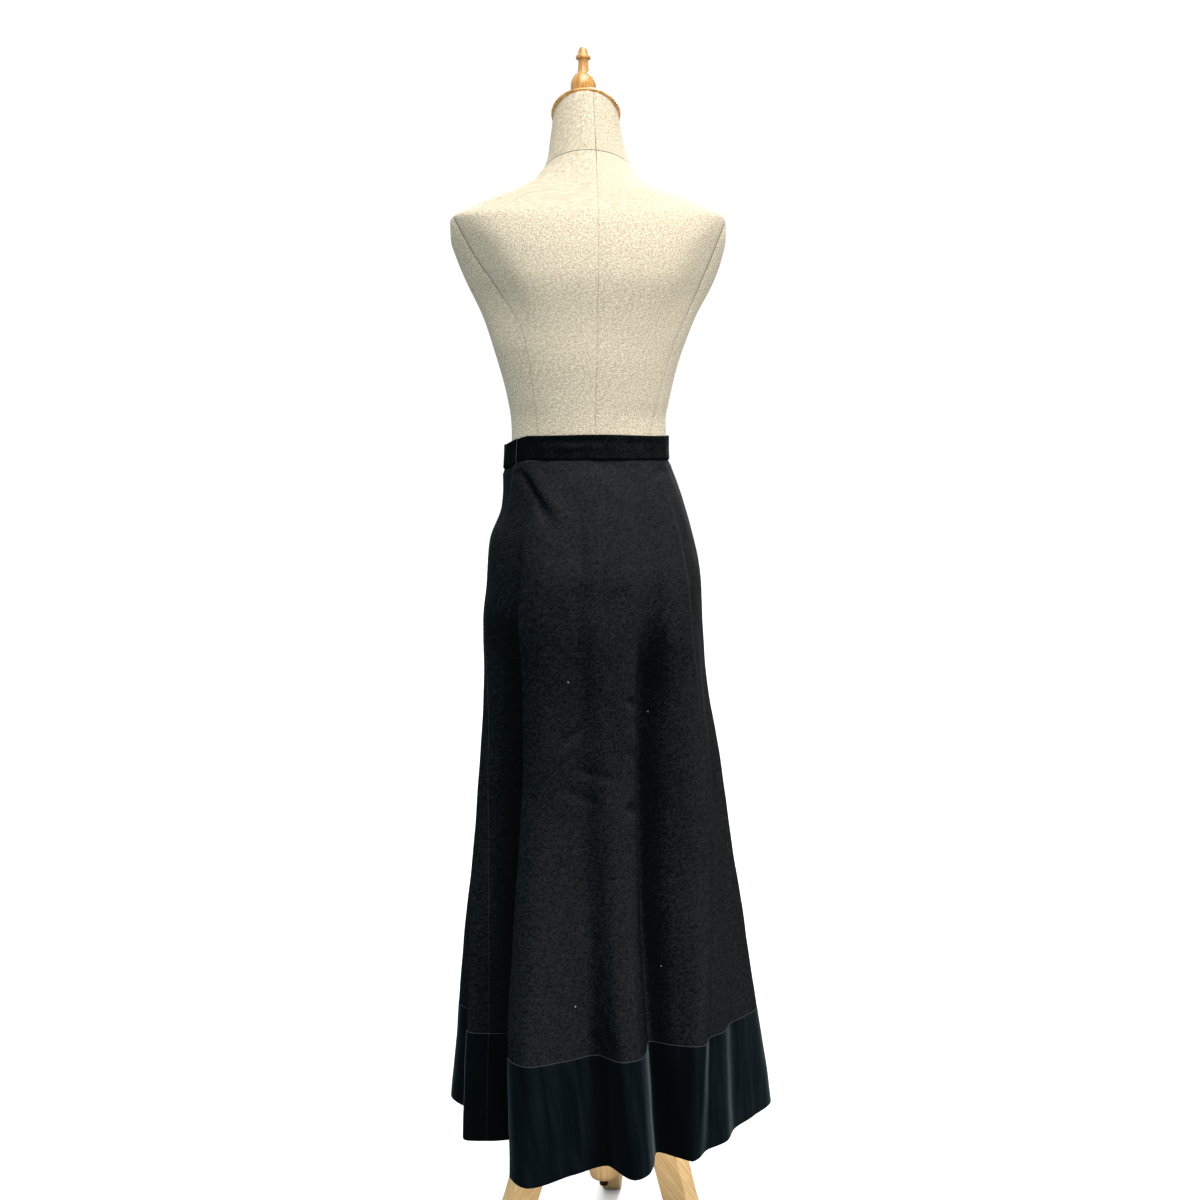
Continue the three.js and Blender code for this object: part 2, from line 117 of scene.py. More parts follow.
def litAndSeen(owner, kind, lit, seen, outKind):
    owner.use_nodes = True
    tree = owner.node_tree
    tree.nodes.clear()
    path = addNode(tree, "ShaderNodeLightPath")
    mix = addNode(tree, "ShaderNodeMixShader", {
        0: path.outputs["Is Camera Ray"],
        1: addNode(tree, kind, lit).outputs[0],
        2: addNode(tree, kind, seen).outputs[0],
    })
    addNode(tree, outKind, {"Surface": mix.outputs[0]})


def buildSky():
    world = bpy.data.worlds.new("studioSky")
    bpy.context.scene.world = world
    litAndSeen(world, "ShaderNodeBackground", litSky, seenSky, "ShaderNodeOutputWorld")


def buildFloor():
    mesh = bpy.data.meshes.new("floor")
    corners = [(floorHalf * x, floorHalf * y, 0) for x, y in ((-1, -1), (1, -1), (1, 1), (-1, 1))]
    mesh.from_pydata(corners, [], [(0, 1, 2, 3)])
    material = bpy.data.materials.new("paleFloor")
    litAndSeen(material, "ShaderNodeBsdfDiffuse", litFloor, seenFloor, "ShaderNodeOutputMaterial")
    mesh.materials.append(material)
    addObject("floor", mesh)


def addLight(name, kind, energy, color, facing, **settings):
    data = bpy.data.lights.new(name, kind)
    data.energy = energy
    data.color = color
    for key, value in settings.items():
        setattr(data, key, value)
    light = addObject(name, data)
    light.rotation_euler = facing.to_track_quat("Z", "Y").to_euler()
    return light


buildSky()
for name, strength, angle, color, fromPlace in suns:
    addLight(name, "SUN", strength, color, Vector(fromPlace), angle=math.radians(angle))
for name, watts, width, height, color, place, target in softboxes:
    facing = Vector(place) - Vector(target)
    box = addLight(name, "AREA", watts, color, facing, shape="RECTANGLE", size=width, size_y=height)
    box.location = place
buildFloor()
report("camera, light and floor")


# Materials. Each takes its pattern from the piece's own map, in metres, or from Object coordinates.

def makeMaterial(name, inputsOf, *settings, **named):
    material = bpy.data.materials.new(name)
    material.use_nodes = True
    tree = material.node_tree
    feed(tree, tree.nodes["Principled BSDF"], inputsOf(tree, *settings, **named))
    return material


def mapping(tree, source, scale, turn=0):
    inputs = {"Vector": source, "Scale": scale, "Rotation": (0, 0, math.radians(turn))}
    return addNode(tree, "ShaderNodeMapping", inputs).outputs["Vector"]


def noise(tree, vector, scale, detail=2.0, roughness=0.5, distortion=0.0):
    inputs = {"Vector": vector, "Scale": scale, "Detail": detail}
    inputs.update({"Roughness": roughness, "Distortion": distortion})
    return addNode(tree, "ShaderNodeTexNoise", inputs).outputs["Fac"]


def math2(tree, operation, *values, clamp=False):
    inputs = dict(enumerate(values))
    return addNode(tree, "ShaderNodeMath", inputs, operation=operation, use_clamp=clamp).outputs[0]


def smallest(tree, values):
    least = values[0]
    for value in values[1:]:
        least = math2(tree, "MINIMUM", least, value)
    return least


def weigh(tree, a, shareA, b, shareB):
    return math2(tree, "MULTIPLY_ADD", a, shareA, math2(tree, "MULTIPLY", b, shareB))


def ramp(tree, value, stops):
    node = addNode(tree, "ShaderNodeValToRGB", {"Fac": value})
    while len(node.color_ramp.elements) < len(stops):
        node.color_ramp.elements.new(0.5)
    for element, (position, color) in zip(node.color_ramp.elements, stops):
        element.position = position
        element.color = (*color, 1.0)
    return node.outputs["Color"]


def blend(tree, factor, a, b, mode="MIX"):
    values = [(*value, 1.0) if isinstance(value, tuple) else value for value in (factor, a, b)]
    inputs = dict(zip((0, 6, 7), values))
    return addNode(tree, "ShaderNodeMix", inputs, data_type="RGBA", blend_type=mode).outputs[2]


def bump(tree, height, distance, strength=1.0, under=None):
    inputs = {"Height": height, "Distance": distance, "Strength": strength}
    if under is not None:
        inputs["Normal"] = under
    return addNode(tree, "ShaderNodeBump", inputs).outputs["Normal"]


def attribute(tree, name):
    return addNode(tree, "ShaderNodeAttribute", attribute_name=name).outputs["Fac"]


def clothMap(tree):
    return addNode(tree, "ShaderNodeUVMap", uv_map="clothMap").outputs["UV"]


def objectCoordinates(tree):
    return addNode(tree, "ShaderNodeTexCoord").outputs["Object"]


twill = {
    "deep": (0.0086, 0.0092, 0.0100),
    "open": (0.0268, 0.0270, 0.0278),
    "bandTone": 0.60,
    # painted highlight: pale colour on the last hair of each piece's edge, where the seam lips catch the
    # light
    "edge": (0.068, 0.068, 0.070),
    "edgeHighlightWidth": 0.00075,
    "ribs": {"Scale": 210, "Distortion": 3.0, "Detail Scale": 1.5},
    "ribAngle": 52,
    "threadPerMetre": 620,
    "fuzzPerMetre": 880,
    "surface": {"Roughness": 0.74, "Specular IOR Level": 0.10},
}


# Share of the painted edge highlight: full at a piece's edge, gone at the given width
def edgeHighlightShare(tree, width):
    near = math2(tree, "DIVIDE", attribute(tree, "edgeDistance"), width, clamp=True)
    return math2(tree, "SUBTRACT", 1.0, near)


lint = {  # pale specks on the back of the cloth, in metres
    "places": [
        (-0.050, -0.133, 0.912), (0.062, -0.073, 0.862), (0.081, -0.110, 0.502), (-0.040, -0.178, 0.466)],
    "radius": 0.0011,
    "acrossSurface": 0.1,
    "color": (0.30, 0.30, 0.28),
}


def lintShare(tree):
    flat = mapping(tree, objectCoordinates(tree), (1, lint["acrossSurface"], 1))
    away = []
    for x, y, z in lint["places"]:
        inputs = {0: flat, 1: (x, y * lint["acrossSurface"], z)}
        away.append(addNode(tree, "ShaderNodeVectorMath", inputs, operation="DISTANCE").outputs["Value"])
    return math2(tree, "LESS_THAN", smallest(tree, away), lint["radius"])


def twillInputs(tree, tone):
    deep, pale = (tuple(tone * value for value in twill[key]) for key in ("deep", "open"))
    diagonal = mapping(tree, clothMap(tree), (1, 1, 1), twill["ribAngle"])
    ribs = addNode(tree, "ShaderNodeTexWave", {"Vector": diagonal, **twill["ribs"]}).outputs["Fac"]
    thread = {"Vector": mapping(tree, diagonal, (1.0, 0.7, 1)), "Scale": twill["threadPerMetre"]}
    threads = addNode(tree, "ShaderNodeTexVoronoi", thread).outputs["Color"]
    fuzz = noise(tree, diagonal, twill["fuzzPerMetre"], 1.5, 0.6)
    grain = weigh(tree, threads, 0.55, fuzz, 0.45)
    raised = weigh(tree, grain, 0.85, ribs, 0.15)
    weave = ramp(tree, raised, [(0.27, deep), (0.73, pale)])
    # painted highlight along the piece's edges
    withEdgeHighlight = blend(tree, edgeHighlightShare(tree, twill["edgeHighlightWidth"]), weave, twill["edge"])
    return {
        **twill["surface"],
        "Base Color": blend(tree, lintShare(tree), withEdgeHighlight, lint["color"]),
        "Normal": bump(tree, grain, 0.0003, 0.6, bump(tree, ribs, 0.00012, 0.5)),
    }


velvet = {
    "deep": (0.0105, 0.0120, 0.0135),
    "open": (0.0155, 0.0174, 0.0190),
    # painted highlight: pale colour along the velvet's edges, where the pile catches the light
    "edge": (0.085, 0.087, 0.090),
    "edgeHighlightWidth": 0.0009,
    "streakPerMetre": 75,
    "pilePerMetre": 1500,
    "patchPerMetre": 14,
    "surface": {
        "Specular IOR Level": 0.04,
        "Sheen Weight": 0.20,
        "Sheen Roughness": 0.33,
        "Sheen Tint": (0.74, 0.91, 1.0, 1.0),
    },
}


def velvetInputs(tree):
    uv = clothMap(tree)
    streaks = noise(tree, mapping(tree, uv, (1, 0.10, 1)), velvet["streakPerMetre"], 2.0, 0.5, 0.3)
    pile = noise(tree, uv, velvet["pilePerMetre"], 2.0, 0.6)
    patches = noise(tree, mapping(tree, uv, (1, 0.4, 1)), velvet["patchPerMetre"])
    level = weigh(tree, streaks, 0.7, patches, 0.3)
    pileColor = ramp(tree, level, [(0.38, velvet["deep"]), (0.66, velvet["open"])])
    return {
        **velvet["surface"],
        # painted highlight along the velvet's edges
        "Base Color": blend(tree, edgeHighlightShare(tree, velvet["edgeHighlightWidth"]), pileColor, velvet["edge"]),
        "Roughness": math2(tree, "MULTIPLY_ADD", streaks, -0.15, 0.95),
        "Normal": bump(tree, pile, 0.0004, 0.3, bump(tree, streaks, 0.003, 0.16)),
    }


linen = {
    "dark": (0.42, 0.345, 0.235),
    "middle": (0.61, 0.525, 0.395),
    "light": (0.83, 0.76, 0.60),
    "slubLength": 0.0025,
    "slubHeight": 0.0015,
    "finePerMetre": 900,
    "seamWidth": 0.0010,
    "seams": ("centreSeam", "neckSeam", "sideSeamRight", "sideSeamLeft"),
    "surface": {"Roughness": 0.92, "Specular IOR Level": 0.15, "Sheen Weight": 0.08, "Sheen Roughness": 0.5},
}


def linenInputs(tree):
    uv = clothMap(tree)
    across = mapping(tree, uv, (1 / linen["slubLength"], 1 / linen["slubHeight"], 1))
    down = mapping(tree, uv, (1 / (0.6 * linen["slubHeight"]), 1 / (1.6 * linen["slubLength"]), 1))
    weft = noise(tree, across, 1.0, 2.0, 0.55, 0.6)
    warp = noise(tree, down, 1.0, 1.5, 0.5, 0.3)
    fine = noise(tree, uv, linen["finePerMetre"], 2.0, 0.6)
    woven = math2(tree, "MULTIPLY_ADD", fine, 0.15, weigh(tree, weft, 0.62, warp, 0.23))
    color = ramp(tree, woven, [(0.39, linen["dark"]), (0.49, linen["middle"]), (0.58, linen["light"])])
    # painted shade: the colour is darkened along the seam lines, most at the armhole creases and the neck
    # seam, as shade in their grooves
    seams = [math2(tree, "ABSOLUTE", attribute(tree, name)) for name in linen["seams"]]
    away = math2(tree, "DIVIDE", smallest(tree, seams), linen["seamWidth"], clamp=True)
    lined = math2(tree, "MULTIPLY", math2(tree, "SUBTRACT", 1.0, away), attribute(tree, "seamGrooveShade"))
    shade = math2(tree, "SUBTRACT", 1.0, lined)
    return {
        **linen["surface"],
        "Base Color": blend(tree, 1.0, color, shade, "MULTIPLY"),
        "Normal": bump(tree, away, 0.0007, 0.6, bump(tree, woven, 0.0011, 0.75)),
    }


def woodInputs(tree, dark, light, along, grainSize, contrast, surface):
    uv = clothMap(tree)
    rings = noise(tree, mapping(tree, uv, along), 1.0 / grainSize, 4.0, 0.6, 0.8)
    pores = noise(tree, mapping(tree, uv, (along[0] * 4, along[1] * 2.2, 1)), 1.0 / grainSize)
    grain = weigh(tree, pores, 0.3, rings, 0.7)
    spread = 0.5 * contrast * 0.45
    return {
        **surface,
        "Base Color": ramp(tree, grain, [(0.5 - spread, dark), (0.5 + spread, light)]),
        "Normal": bump(tree, grain, 0.0004, 0.35),
    }


def steelInputs(tree):
    rust = noise(tree, objectCoordinates(tree), 420, 3.0, 0.6)
    return {
        "Base Color": ramp(tree, rust, [(0.35, (0.035, 0.022, 0.014)), (0.7, (0.11, 0.062, 0.034))]),
        "Metallic": 0.7,
        "Roughness": math2(tree, "MULTIPLY_ADD", rust, 0.4, 0.3),
    }


def threadInputs(tree):
    twist = noise(tree, objectCoordinates(tree), 2600)
    return {
        "Base Color": ramp(tree, twist, [(0.35, (0.006, 0.007, 0.008)), (0.7, (0.022, 0.023, 0.025))]),
        "Roughness": 0.6,
    }


finishes = {
    "cloth": makeMaterial("blackTwill", twillInputs, 1.0),
    "bandCloth": makeMaterial("waistbandTwill", twillInputs, twill["bandTone"]),
    "velvet": makeMaterial("blackVelvet", velvetInputs),
    "linen": makeMaterial("slubLinen", linenInputs),
    "honey_wood": makeMaterial(
        "honeyWood", woodInputs, dark=(0.40, 0.175, 0.042), light=(0.74, 0.41, 0.12), along=(2.2, 0.35, 1),
        grainSize=0.012, contrast=0.6,
        surface={"Roughness": 0.22, "Coat Weight": 0.6, "Coat Roughness": 0.12}),
    "oak": makeMaterial(
        "oakWood", woodInputs, dark=(0.62, 0.375, 0.155), light=(0.88, 0.60, 0.29), along=(0.10, 1.6, 1),
        grainSize=0.0075, contrast=0.62,
        surface={"Roughness": 0.42, "Coat Weight": 0.2, "Coat Roughness": 0.12}),
    "dark_steel": makeMaterial("darkSteel", steelInputs),
    "thread": makeMaterial("blackThread", threadInputs),
}
report("materials")


# Curves through tables

def smoothSlopes(xs, ys):
    gaps = np.diff(xs)
    rises = np.diff(ys) / gaps
    slopes = np.zeros(len(xs))
    for i in range(1, len(xs) - 1):
        if rises[i - 1] * rises[i] > 0:
            before = 2 * gaps[i] + gaps[i - 1]
            after = gaps[i] + 2 * gaps[i - 1]
            slopes[i] = (before + after) / (before / rises[i - 1] + after / rises[i])
    slopes[0] = rises[0]
    slopes[-1] = rises[-1]
    return slopes


def smoothThrough(xs, ys):
    xs = np.asarray(xs, float)
    ys = np.asarray(ys, float)
    slopes = smoothSlopes(xs, ys)

    def at(x):
        x = np.asarray(x, float)
        i = np.clip(np.searchsorted(xs, x) - 1, 0, len(xs) - 2)
        span = xs[i + 1] - xs[i]
        t = np.clip((x - xs[i]) / span, 0, 1)
        t2 = t * t
        t3 = t2 * t
        return ((2 * t3 - 3 * t2 + 1) * ys[i] + (t3 - 2 * t2 + t) * span * slopes[i]
                + (3 * t2 - 2 * t3) * ys[i + 1] + (t3 - t2) * span * slopes[i + 1])

    return at


def smoothStep(x, low, high):
    t = np.clip((np.asarray(x, float) - low) / (high - low), 0, 1)
    return t * t * (3 - 2 * t)


def bell(away, width):
    return np.exp(-(away / width) ** 2)


def planOf(sections):
    heights = [row[0] for row in sections]
    left, right, back, front = (smoothThrough(heights, [row[i] for row in sections]) for i in range(1, 5))

    def plan(z):
        return (left(z) + right(z)) / 2, (right(z) - left(z)) / 2, -back(z), front(z)

    return plan


# The skirt's hanging form

hemHeight = 250.0
velvetSeam = 398.0
waistSeam = 1217.0
waistTop = 1252.6
seamLap = 0.5
seamProud = 0.45

skirtSections = [  # height, then reach to the left, right, back and front, before the folds
    (250, -232, 253, -250, 245),
    (409, -220, 229, -207, 216),
    (532, -210, 210, -174, 194),
    (655, -198, 191, -148, 171),
    (775, -186, 173, -135, 150),
    (865, -178, 157, -133, 134),
    (925, -177, 149, -136, 124),
    (984, -178, 144, -139, 119),
    (1043, -172, 141, -138, 115),
    (1101, -166, 131, -126, 108),
    (1160, -149, 115, -108, 97),
    (1190, -147, 104, -97, 90),
    (1217, -147, 95, -86, 84),
    (1253, -145, 93.5, -85, 83),
]

drapeHeights = [250, 480, 760, 900, 1010, 1217]
drapeLines = [  # fold crests, valleys and seams: angles and depths (out +, in -) at those heights
    ("seamRight", (8, 7, 5, 4, 2, -14), (-6, -4, -2, -1, 0, 0)),
    ("valleyFrontA", (22, 22, 22, 21, 19, 12), (-40, -30, -16, -7, 0, 0)),
    ("crestFrontA", (40, 40, 39, 39, 38, 34), (-3, -2, 0, 0, 0, 0)),
    ("valleyFrontB", (57, 57, 57, 57, 56, 54), (-50, -38, -22, -11, -1, 0)),
    ("crestFrontB", (75, 75, 74, 74, 74, 74), (6, 4, 2, 1, 1, 0)),
    ("valleyFrontC", (93, 92, 92, 92, 92, 92), (-42, -32, -18, -8, -1, 0)),
    ("crestFrontC", (109, 109, 109, 108, 108, 106), (2, 2, 1, 0, 0, 0)),
    ("valleyFrontD", (126, 126, 125, 125, 124, 124), (-54, -42, -24, -12, -1, 0)),
    ("crestFrontD", (143, 142, 141, 141, 140, 142), (-2, -2, -1, 0, 0, 0)),
    ("valleyFrontE", (158, 157, 155, 153, 151, 156), (-34, -24, -12, -5, 0, 0)),
    ("crestSide", (173, 171, 166, 164, 162, 168), (3, 1, 0, 0, 0, 0)),
    ("valleySide", (196, 190, 180, 175, 170, 180), (-46, -30, -10, -3, 0, 0)),
    ("crestSideSeam", (210, 205, 191, 184, 178, 196), (2, 1, -1, -1, 0, 0)),
    ("seamLeft", (215.5, 212, 201, 193, 186, 213), (-24, -18, -8, -4, -1, 0)),
    ("valleyLeft", (228, 227.5, 226, 225, 225, 224), (-90, -86, -72, -52, -12, 0)),
    ("edgeLeft", (239.5, 235, 234, 233.5, 233.5, 236), (30, 18, 6, 6, 8, 0)),
    ("crestLeft", (246, 243, 243, 243, 243, 244), (46, 30, 11, 8, 10, 0)),
    ("slopeLeft", (256, 254, 254, 254, 254, 254), (-8, 4, 4, 3, 5, 0)),
    ("valleyMiddle", (268, 264.5, 263.5, 264, 264, 264), (-44, -21, -3, -1, -1, 0)),
    ("crestMiddle", (277.5, 275, 273, 272, 271, 268.5), (0, -2, 2, 1, 1, 0)),
    ("seamBack", (282.5, 280.6, 279, 277.3, 275.5, 272.5), (-12, -6, 0, 1, 1, 0)),
    ("edgeRight", (285.5, 283.8, 285.5, 288, 291, 288), (-30, -17, -5, -1, 0, 0)),
    ("valleyRight", (292, 292, 295, 299, 303, 300), (-70, -67, -54, -38, -8, 0)),
    ("slopeRight", (297.5, 303, 311, 315, 314, 311), (-44, -37, -26, -12, 3, 0)),
    ("crestRight", (301, 315, 328, 330, 325, 321), (-23, -12, -3, 2, 7, 0)),
    ("dipRightA", (312, 323, 335, 337, 333, 328), (-38, -26, -12, -5, -1, 0)),
    ("waveRight", (322, 331, 341, 342, 340, 333), (-34, -24, -12, -5, -1, 0)),
    ("dipRightB", (333, 340, 347, 348, 348, 338), (-43, -28, -13, -6, -1, 0)),
    ("shoulderRight", (347, 351, 354, 354, 354, 341), (-26, -15, -6, -3, 0, 0)),
    ("crestRightSide", (362, 361, 360, 360, 359, 344), (0, 0, 0, 0, 0, 0)),
]
lineOrder = [row[0] for row in drapeLines]

waistDrop = {"depth": 13, "centre": 178, "flat": 14, "fade": 36, "gone": 1085}
lap = {"underEnd": 183.0, "overEnd": 574.0, "inset": 3.5, "easeOut": 30, "columns": 330}

# Creases over the big folds: depth (ridge +, trough -), softness to the lower and to the higher
# angle side, and the path as (angle, height) pairs
creases = [
    ("dragTrough", -6.0, 6, 8, [(216.5, 1207), (225, 1188), (234, 1163), (242, 1142), (249, 1121)]),
    ("dragRidge", 3.2, 9, 14, [(222, 1213), (232, 1190), (241, 1168), (251, 1142), (258, 1120)]),
    ("sidePinch", -3.0, 4, 5, [(337, 1207), (326, 1201), (314, 1190)]),
    ("sidePinchLip", 1.0, 6, 8, [(336, 1198), (324, 1190), (313, 1179)]),
    ("waistPucker", -3.0, 5, 7, [(273, 1214), (284, 1210), (294, 1202), (301, 1186), (305, 1164)]),
    ("waistLip", 2.0, 8, 8, [(276, 1200), (283, 1182), (288, 1160), (291, 1135)]),
    ("waistSoftA", -0.9, 8, 8, [(282, 1205), (286, 1186), (293, 1160)]),
    ("bandShadow", -0.8, 10, 10, [(228, 1212), (238, 1206), (247, 1196)]),
    ("midCreaseA", -2.3, 5, 6, [(252, 812), (259, 838), (266, 860)]),
    ("midCreaseB", -1.8, 5, 6, [(256, 788), (266, 782), (275, 777), (283, 757)]),
    ("midCreaseC", 1.7, 7, 7, [(250, 798), (257, 822), (265, 846)]),
    ("midCreaseD", -1.5, 6, 8, [(253, 764), (262, 746), (272, 742)]),
    ("ridgeNotchA", -4.5, 6, 6, [(285.5, 888), (288.5, 880), (292, 874)]),
    ("ridgeNotchB", -4.5, 6, 6, [(281.5, 738), (284.5, 730), (288, 722)]),
    ("ridgeSwellA", 2.0, 12, 12, [(287, 850), (286.5, 810)]),
    ("foldPucker", -2.0, 5, 6, [(264, 430), (266, 412), (269.5, 399)]),
    ("foldPuckerB", -1.6, 5, 6, [(268, 452), (270, 424), (271.5, 401)]),
    ("slopeSoft", -1.5, 16, 20, [(259, 1010), (262, 900), (262, 760), (262, 640)]),
    ("hipSoft", -1.3, 22, 22, [(262, 1050), (275, 1030), (290, 1015)]),
    ("rightSoft", -1.2, 14, 18, [(312, 1060), (318, 985), (321, 900), (318, 820)]),
    ("frontDragA", -2.6, 9, 12, [(160, 1198), (148, 1172), (136, 1140), (126, 1102)]),
    ("frontDragB", -1.8, 9, 10, [(28, 1206), (40, 1180), (52, 1148)]),
    ("frontSoftA", -1.4, 14, 16, [(75, 1180), (80, 1090), (84, 1000)]),
    ("frontSoftB", -1.2, 12, 12, [(112, 1188), (107, 1120), (104, 1030)]),
    ("frontMid", -1.6, 8, 10, [(68, 812), (74, 790), (82, 782)]),
    ("frontNotch", -2.4, 8, 8, [(139, 700), (142, 690), (146, 684)]),
]

lastCreaseAngle = 355
skirtPlan = planOf(skirtSections)
lineCurves = [[smoothThrough(drapeHeights, values) for values in row[1:]] for row in drapeLines]


def skirtRing(z):
    angles = np.array([float(curve(z)) for curve, _ in lineCurves])
    depths = np.array([float(curve(z)) for _, curve in lineCurves])
    wrap = 3
    knots = np.concatenate([angles[-wrap:] - 360, angles, angles[:wrap] + 360])
    values = np.concatenate([depths[-wrap:], depths, depths[:wrap]])
    depthAt = smoothThrough(knots, values)
    middle, half, back, front = (float(v) for v in skirtPlan(z))

    def outline(angle):
        depth = depthAt(angle - 360 * np.floor((angle - angles[0]) / 360))
        c = np.cos(np.radians(angle))
        s = np.sin(np.radians(angle))
        reach = np.where(s < 0, back, front)
        return np.stack([middle + (half + depth) * c, (reach + depth) * s], axis=-1)

    return angles, outline


def dropAt(angle, z):
    away = np.abs((angle - waistDrop["centre"] + 180) % 360 - 180)
    around = 1 - smoothStep(away, waistDrop["flat"], waistDrop["flat"] + waistDrop["fade"])
    return waistDrop["depth"] * around * smoothStep(z, waistDrop["gone"], waistSeam)


def creaseRelief(angle, z):
    middle, half, back, front = skirtPlan(z)
    perDegree = np.radians((half + (back + front) / 2) / 2)
    turned = np.where(angle > lastCreaseAngle, angle - 360, angle)
    across = turned * perDegree
    total = np.zeros_like(across)
    for _, depth, before, after, path in creases:
        knots = np.array(path, float)
        spread = 4 * max(before, after)
        near = (z > knots[:, 1].min() - spread) & (z < knots[:, 1].max() + spread)
        near &= (turned > knots[:, 0].min() - spread / 2) & (turned < knots[:, 0].max() + spread / 2)
        if not near.any():
            continue
        px = across[near]
        pz = z[near]
        scale = perDegree[near]
        best = np.full(px.shape, 1e9)
        side = np.ones(px.shape)
        along = np.zeros(px.shape)
        for k in range(len(knots) - 1):
            ax, az = knots[k, 0] * scale, knots[k, 1]
            bx, bz = knots[k + 1, 0] * scale, knots[k + 1, 1]
            dx, dz = bx - ax, bz - az
            t = np.clip(((px - ax) * dx + (pz - az) * dz) / (dx * dx + dz * dz), 0, 1)
            qx, qz = px - ax - t * dx, pz - az - t * dz
            distance = np.hypot(qx, qz)
            closer = distance < best
            best = np.where(closer, distance, best)
            side = np.where(closer, np.sign(dx * qz - dz * qx), side)
            along = np.where(closer, (k + t) / (len(knots) - 1), along)
        softness = np.where(side > 0, after, before)
        ends = smoothStep(along, -0.05, 0.3) * (1 - smoothStep(along, 0.55, 1.05))
        total[near] += depth * bell(best, softness) * np.maximum(ends, 0)
    return total


clothWaves = [  # size, then waves round the skirt, height per radian and phase of its two sines
    (1.1, (5, 93, 0.7), (2, 61, 0)),
    (0.55, (11, -47, 1.9), (3, 38, 0.4)),
    (0.22, (23, 21, 0), (-5, 17, 2.2)),
]


def unevenness(angle, z):
    a = np.radians(angle)
    total = 0
    for size, *pair in clothWaves:
        first, second = (np.sin(turns * a + z / reach + phase) for turns, reach, phase in pair)
        total = total + size * first * second
    fade = smoothStep(waistSeam - z, 0, 60)
    return total * (0.25 + 0.75 * fade)


def waistGather(angle, z):
    below = np.maximum(waistSeam - z, 0)
    a = np.radians(angle)
    ripple = np.sin(31 * a + 0.8) + 0.6 * np.sin(19 * a + 2.1)
    return 0.35 * ripple * np.exp(-below / 22) * smoothStep(below, 0.5, 6)


def lineAt(angles, index):
    turn = index // len(drapeLines)
    return angles[index - turn * len(drapeLines)] + 360 * turn


# Extra columns and rows beside each edge: share of a column's width, and millimetres
edgeSteps = (0.05, 0.14, 0.32, 0.6)
edgeRows = (0.06, 0.25, 0.6, 1.3)
tangentStep = 0.15


def fineEnds(values, steps, first, last):
    head = [values[0] + first * s for s in (0, *steps)]
    tail = [values[-1] - last * s for s in (*reversed(steps), 0)]
    return np.array([*head, *values[1:-1], *tail])


def columnShares(fromLine, toLine, spacing, testHeight):
    angles, outline = skirtRing(testHeight)
    shares = []
    for index in range(fromLine, toLine):
        fine = np.linspace(lineAt(angles, index), lineAt(angles, index + 1), 24)
        length = np.linalg.norm(np.diff(outline(fine), axis=0), axis=1).sum()
        steps = max(3, int(round(length / spacing)))
        shares += [index + k / steps for k in range(steps)]
    shares.append(float(toLine))
    return fineEnds(shares, edgeSteps, shares[1] - shares[0], shares[-1] - shares[-2])


def rowHeights(low, high, spacing):
    steps = max(3, int(round((high - low) / spacing)))
    return fineEnds(np.linspace(low, high, steps + 1), edgeRows, 1, 1)


def sweepCloth(columnsAt, heights, inset=None):
    rings = []
    for height in heights:
        angles, outline = skirtRing(height)
        columns = columnsAt(angles)
        tangent = outline(columns + tangentStep) - outline(columns - tangentStep)
        tangent /= np.linalg.norm(tangent, axis=1, keepdims=True)
        normal = np.stack([tangent[:, 1], -tangent[:, 0]], axis=-1)
        point = outline(columns)
        if inset is not None:
            point = point - normal * inset(columns)[:, None]
        rings.append(np.column_stack([point, normal, columns, np.full(len(columns), height)]))
    rings = np.array(rings)
    angle, z = rings[..., 4], rings[..., 5]
    drop = dropAt(angle, np.minimum(z, waistSeam))
    place = np.dstack([rings[..., :2], z - drop])
    normal = np.dstack([rings[..., 2:4], np.zeros_like(z)])
    return place, normal, angle, z


def panelColumns(fromLine, toLine, spacing, testHeight):
    shares = columnShares(fromLine, toLine, spacing, testHeight)
    whole = np.floor(shares).astype(int)
    rest = shares - whole

    def at(angles):
        low = np.array([lineAt(angles, i) for i in whole])
        high = np.array([lineAt(angles, i + 1) for i in whole])
        return low + (high - low) * rest

    return at


def gridLengths(place, axis):
    steps = np.linalg.norm(np.diff(place, axis=axis), axis=2)
    return np.insert(np.cumsum(steps, axis=axis), 0, 0, axis=axis)


def gridArea(place):
    a = place[1:, 1:] - place[:-1, :-1]
    b = place[1:, :-1] - place[:-1, 1:]
    return 0.5 * np.linalg.norm(np.cross(a, b), axis=2).sum()


def linkMesh(name, vertices, faces, maps, finish, extras=None):
    mesh = bpy.data.meshes.new(name)
    mesh.from_pydata([tuple(v) for v in vertices], [], [tuple(f) for f in faces])
    layer = mesh.uv_layers.new(name="clothMap")
    corners = np.empty(len(mesh.loops), dtype=np.int32)
    mesh.loops.foreach_get("vertex_index", corners)
    layer.data.foreach_set("uv", np.asarray(maps, dtype=np.float32)[corners].ravel())
    mesh.polygons.foreach_set("use_smooth", np.ones(len(mesh.polygons), dtype=bool))
    mesh.materials.append(finishes[finish])
    for label, values in (extras or {}).items():
        extra = mesh.attributes.new(label, "FLOAT", "POINT")
        extra.data.foreach_set("value", (values * mm).astype(np.float32))
    mesh.update()
    return addObject(name, mesh)


def declare(piece, node):
    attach(piece, "root")
    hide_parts(node)


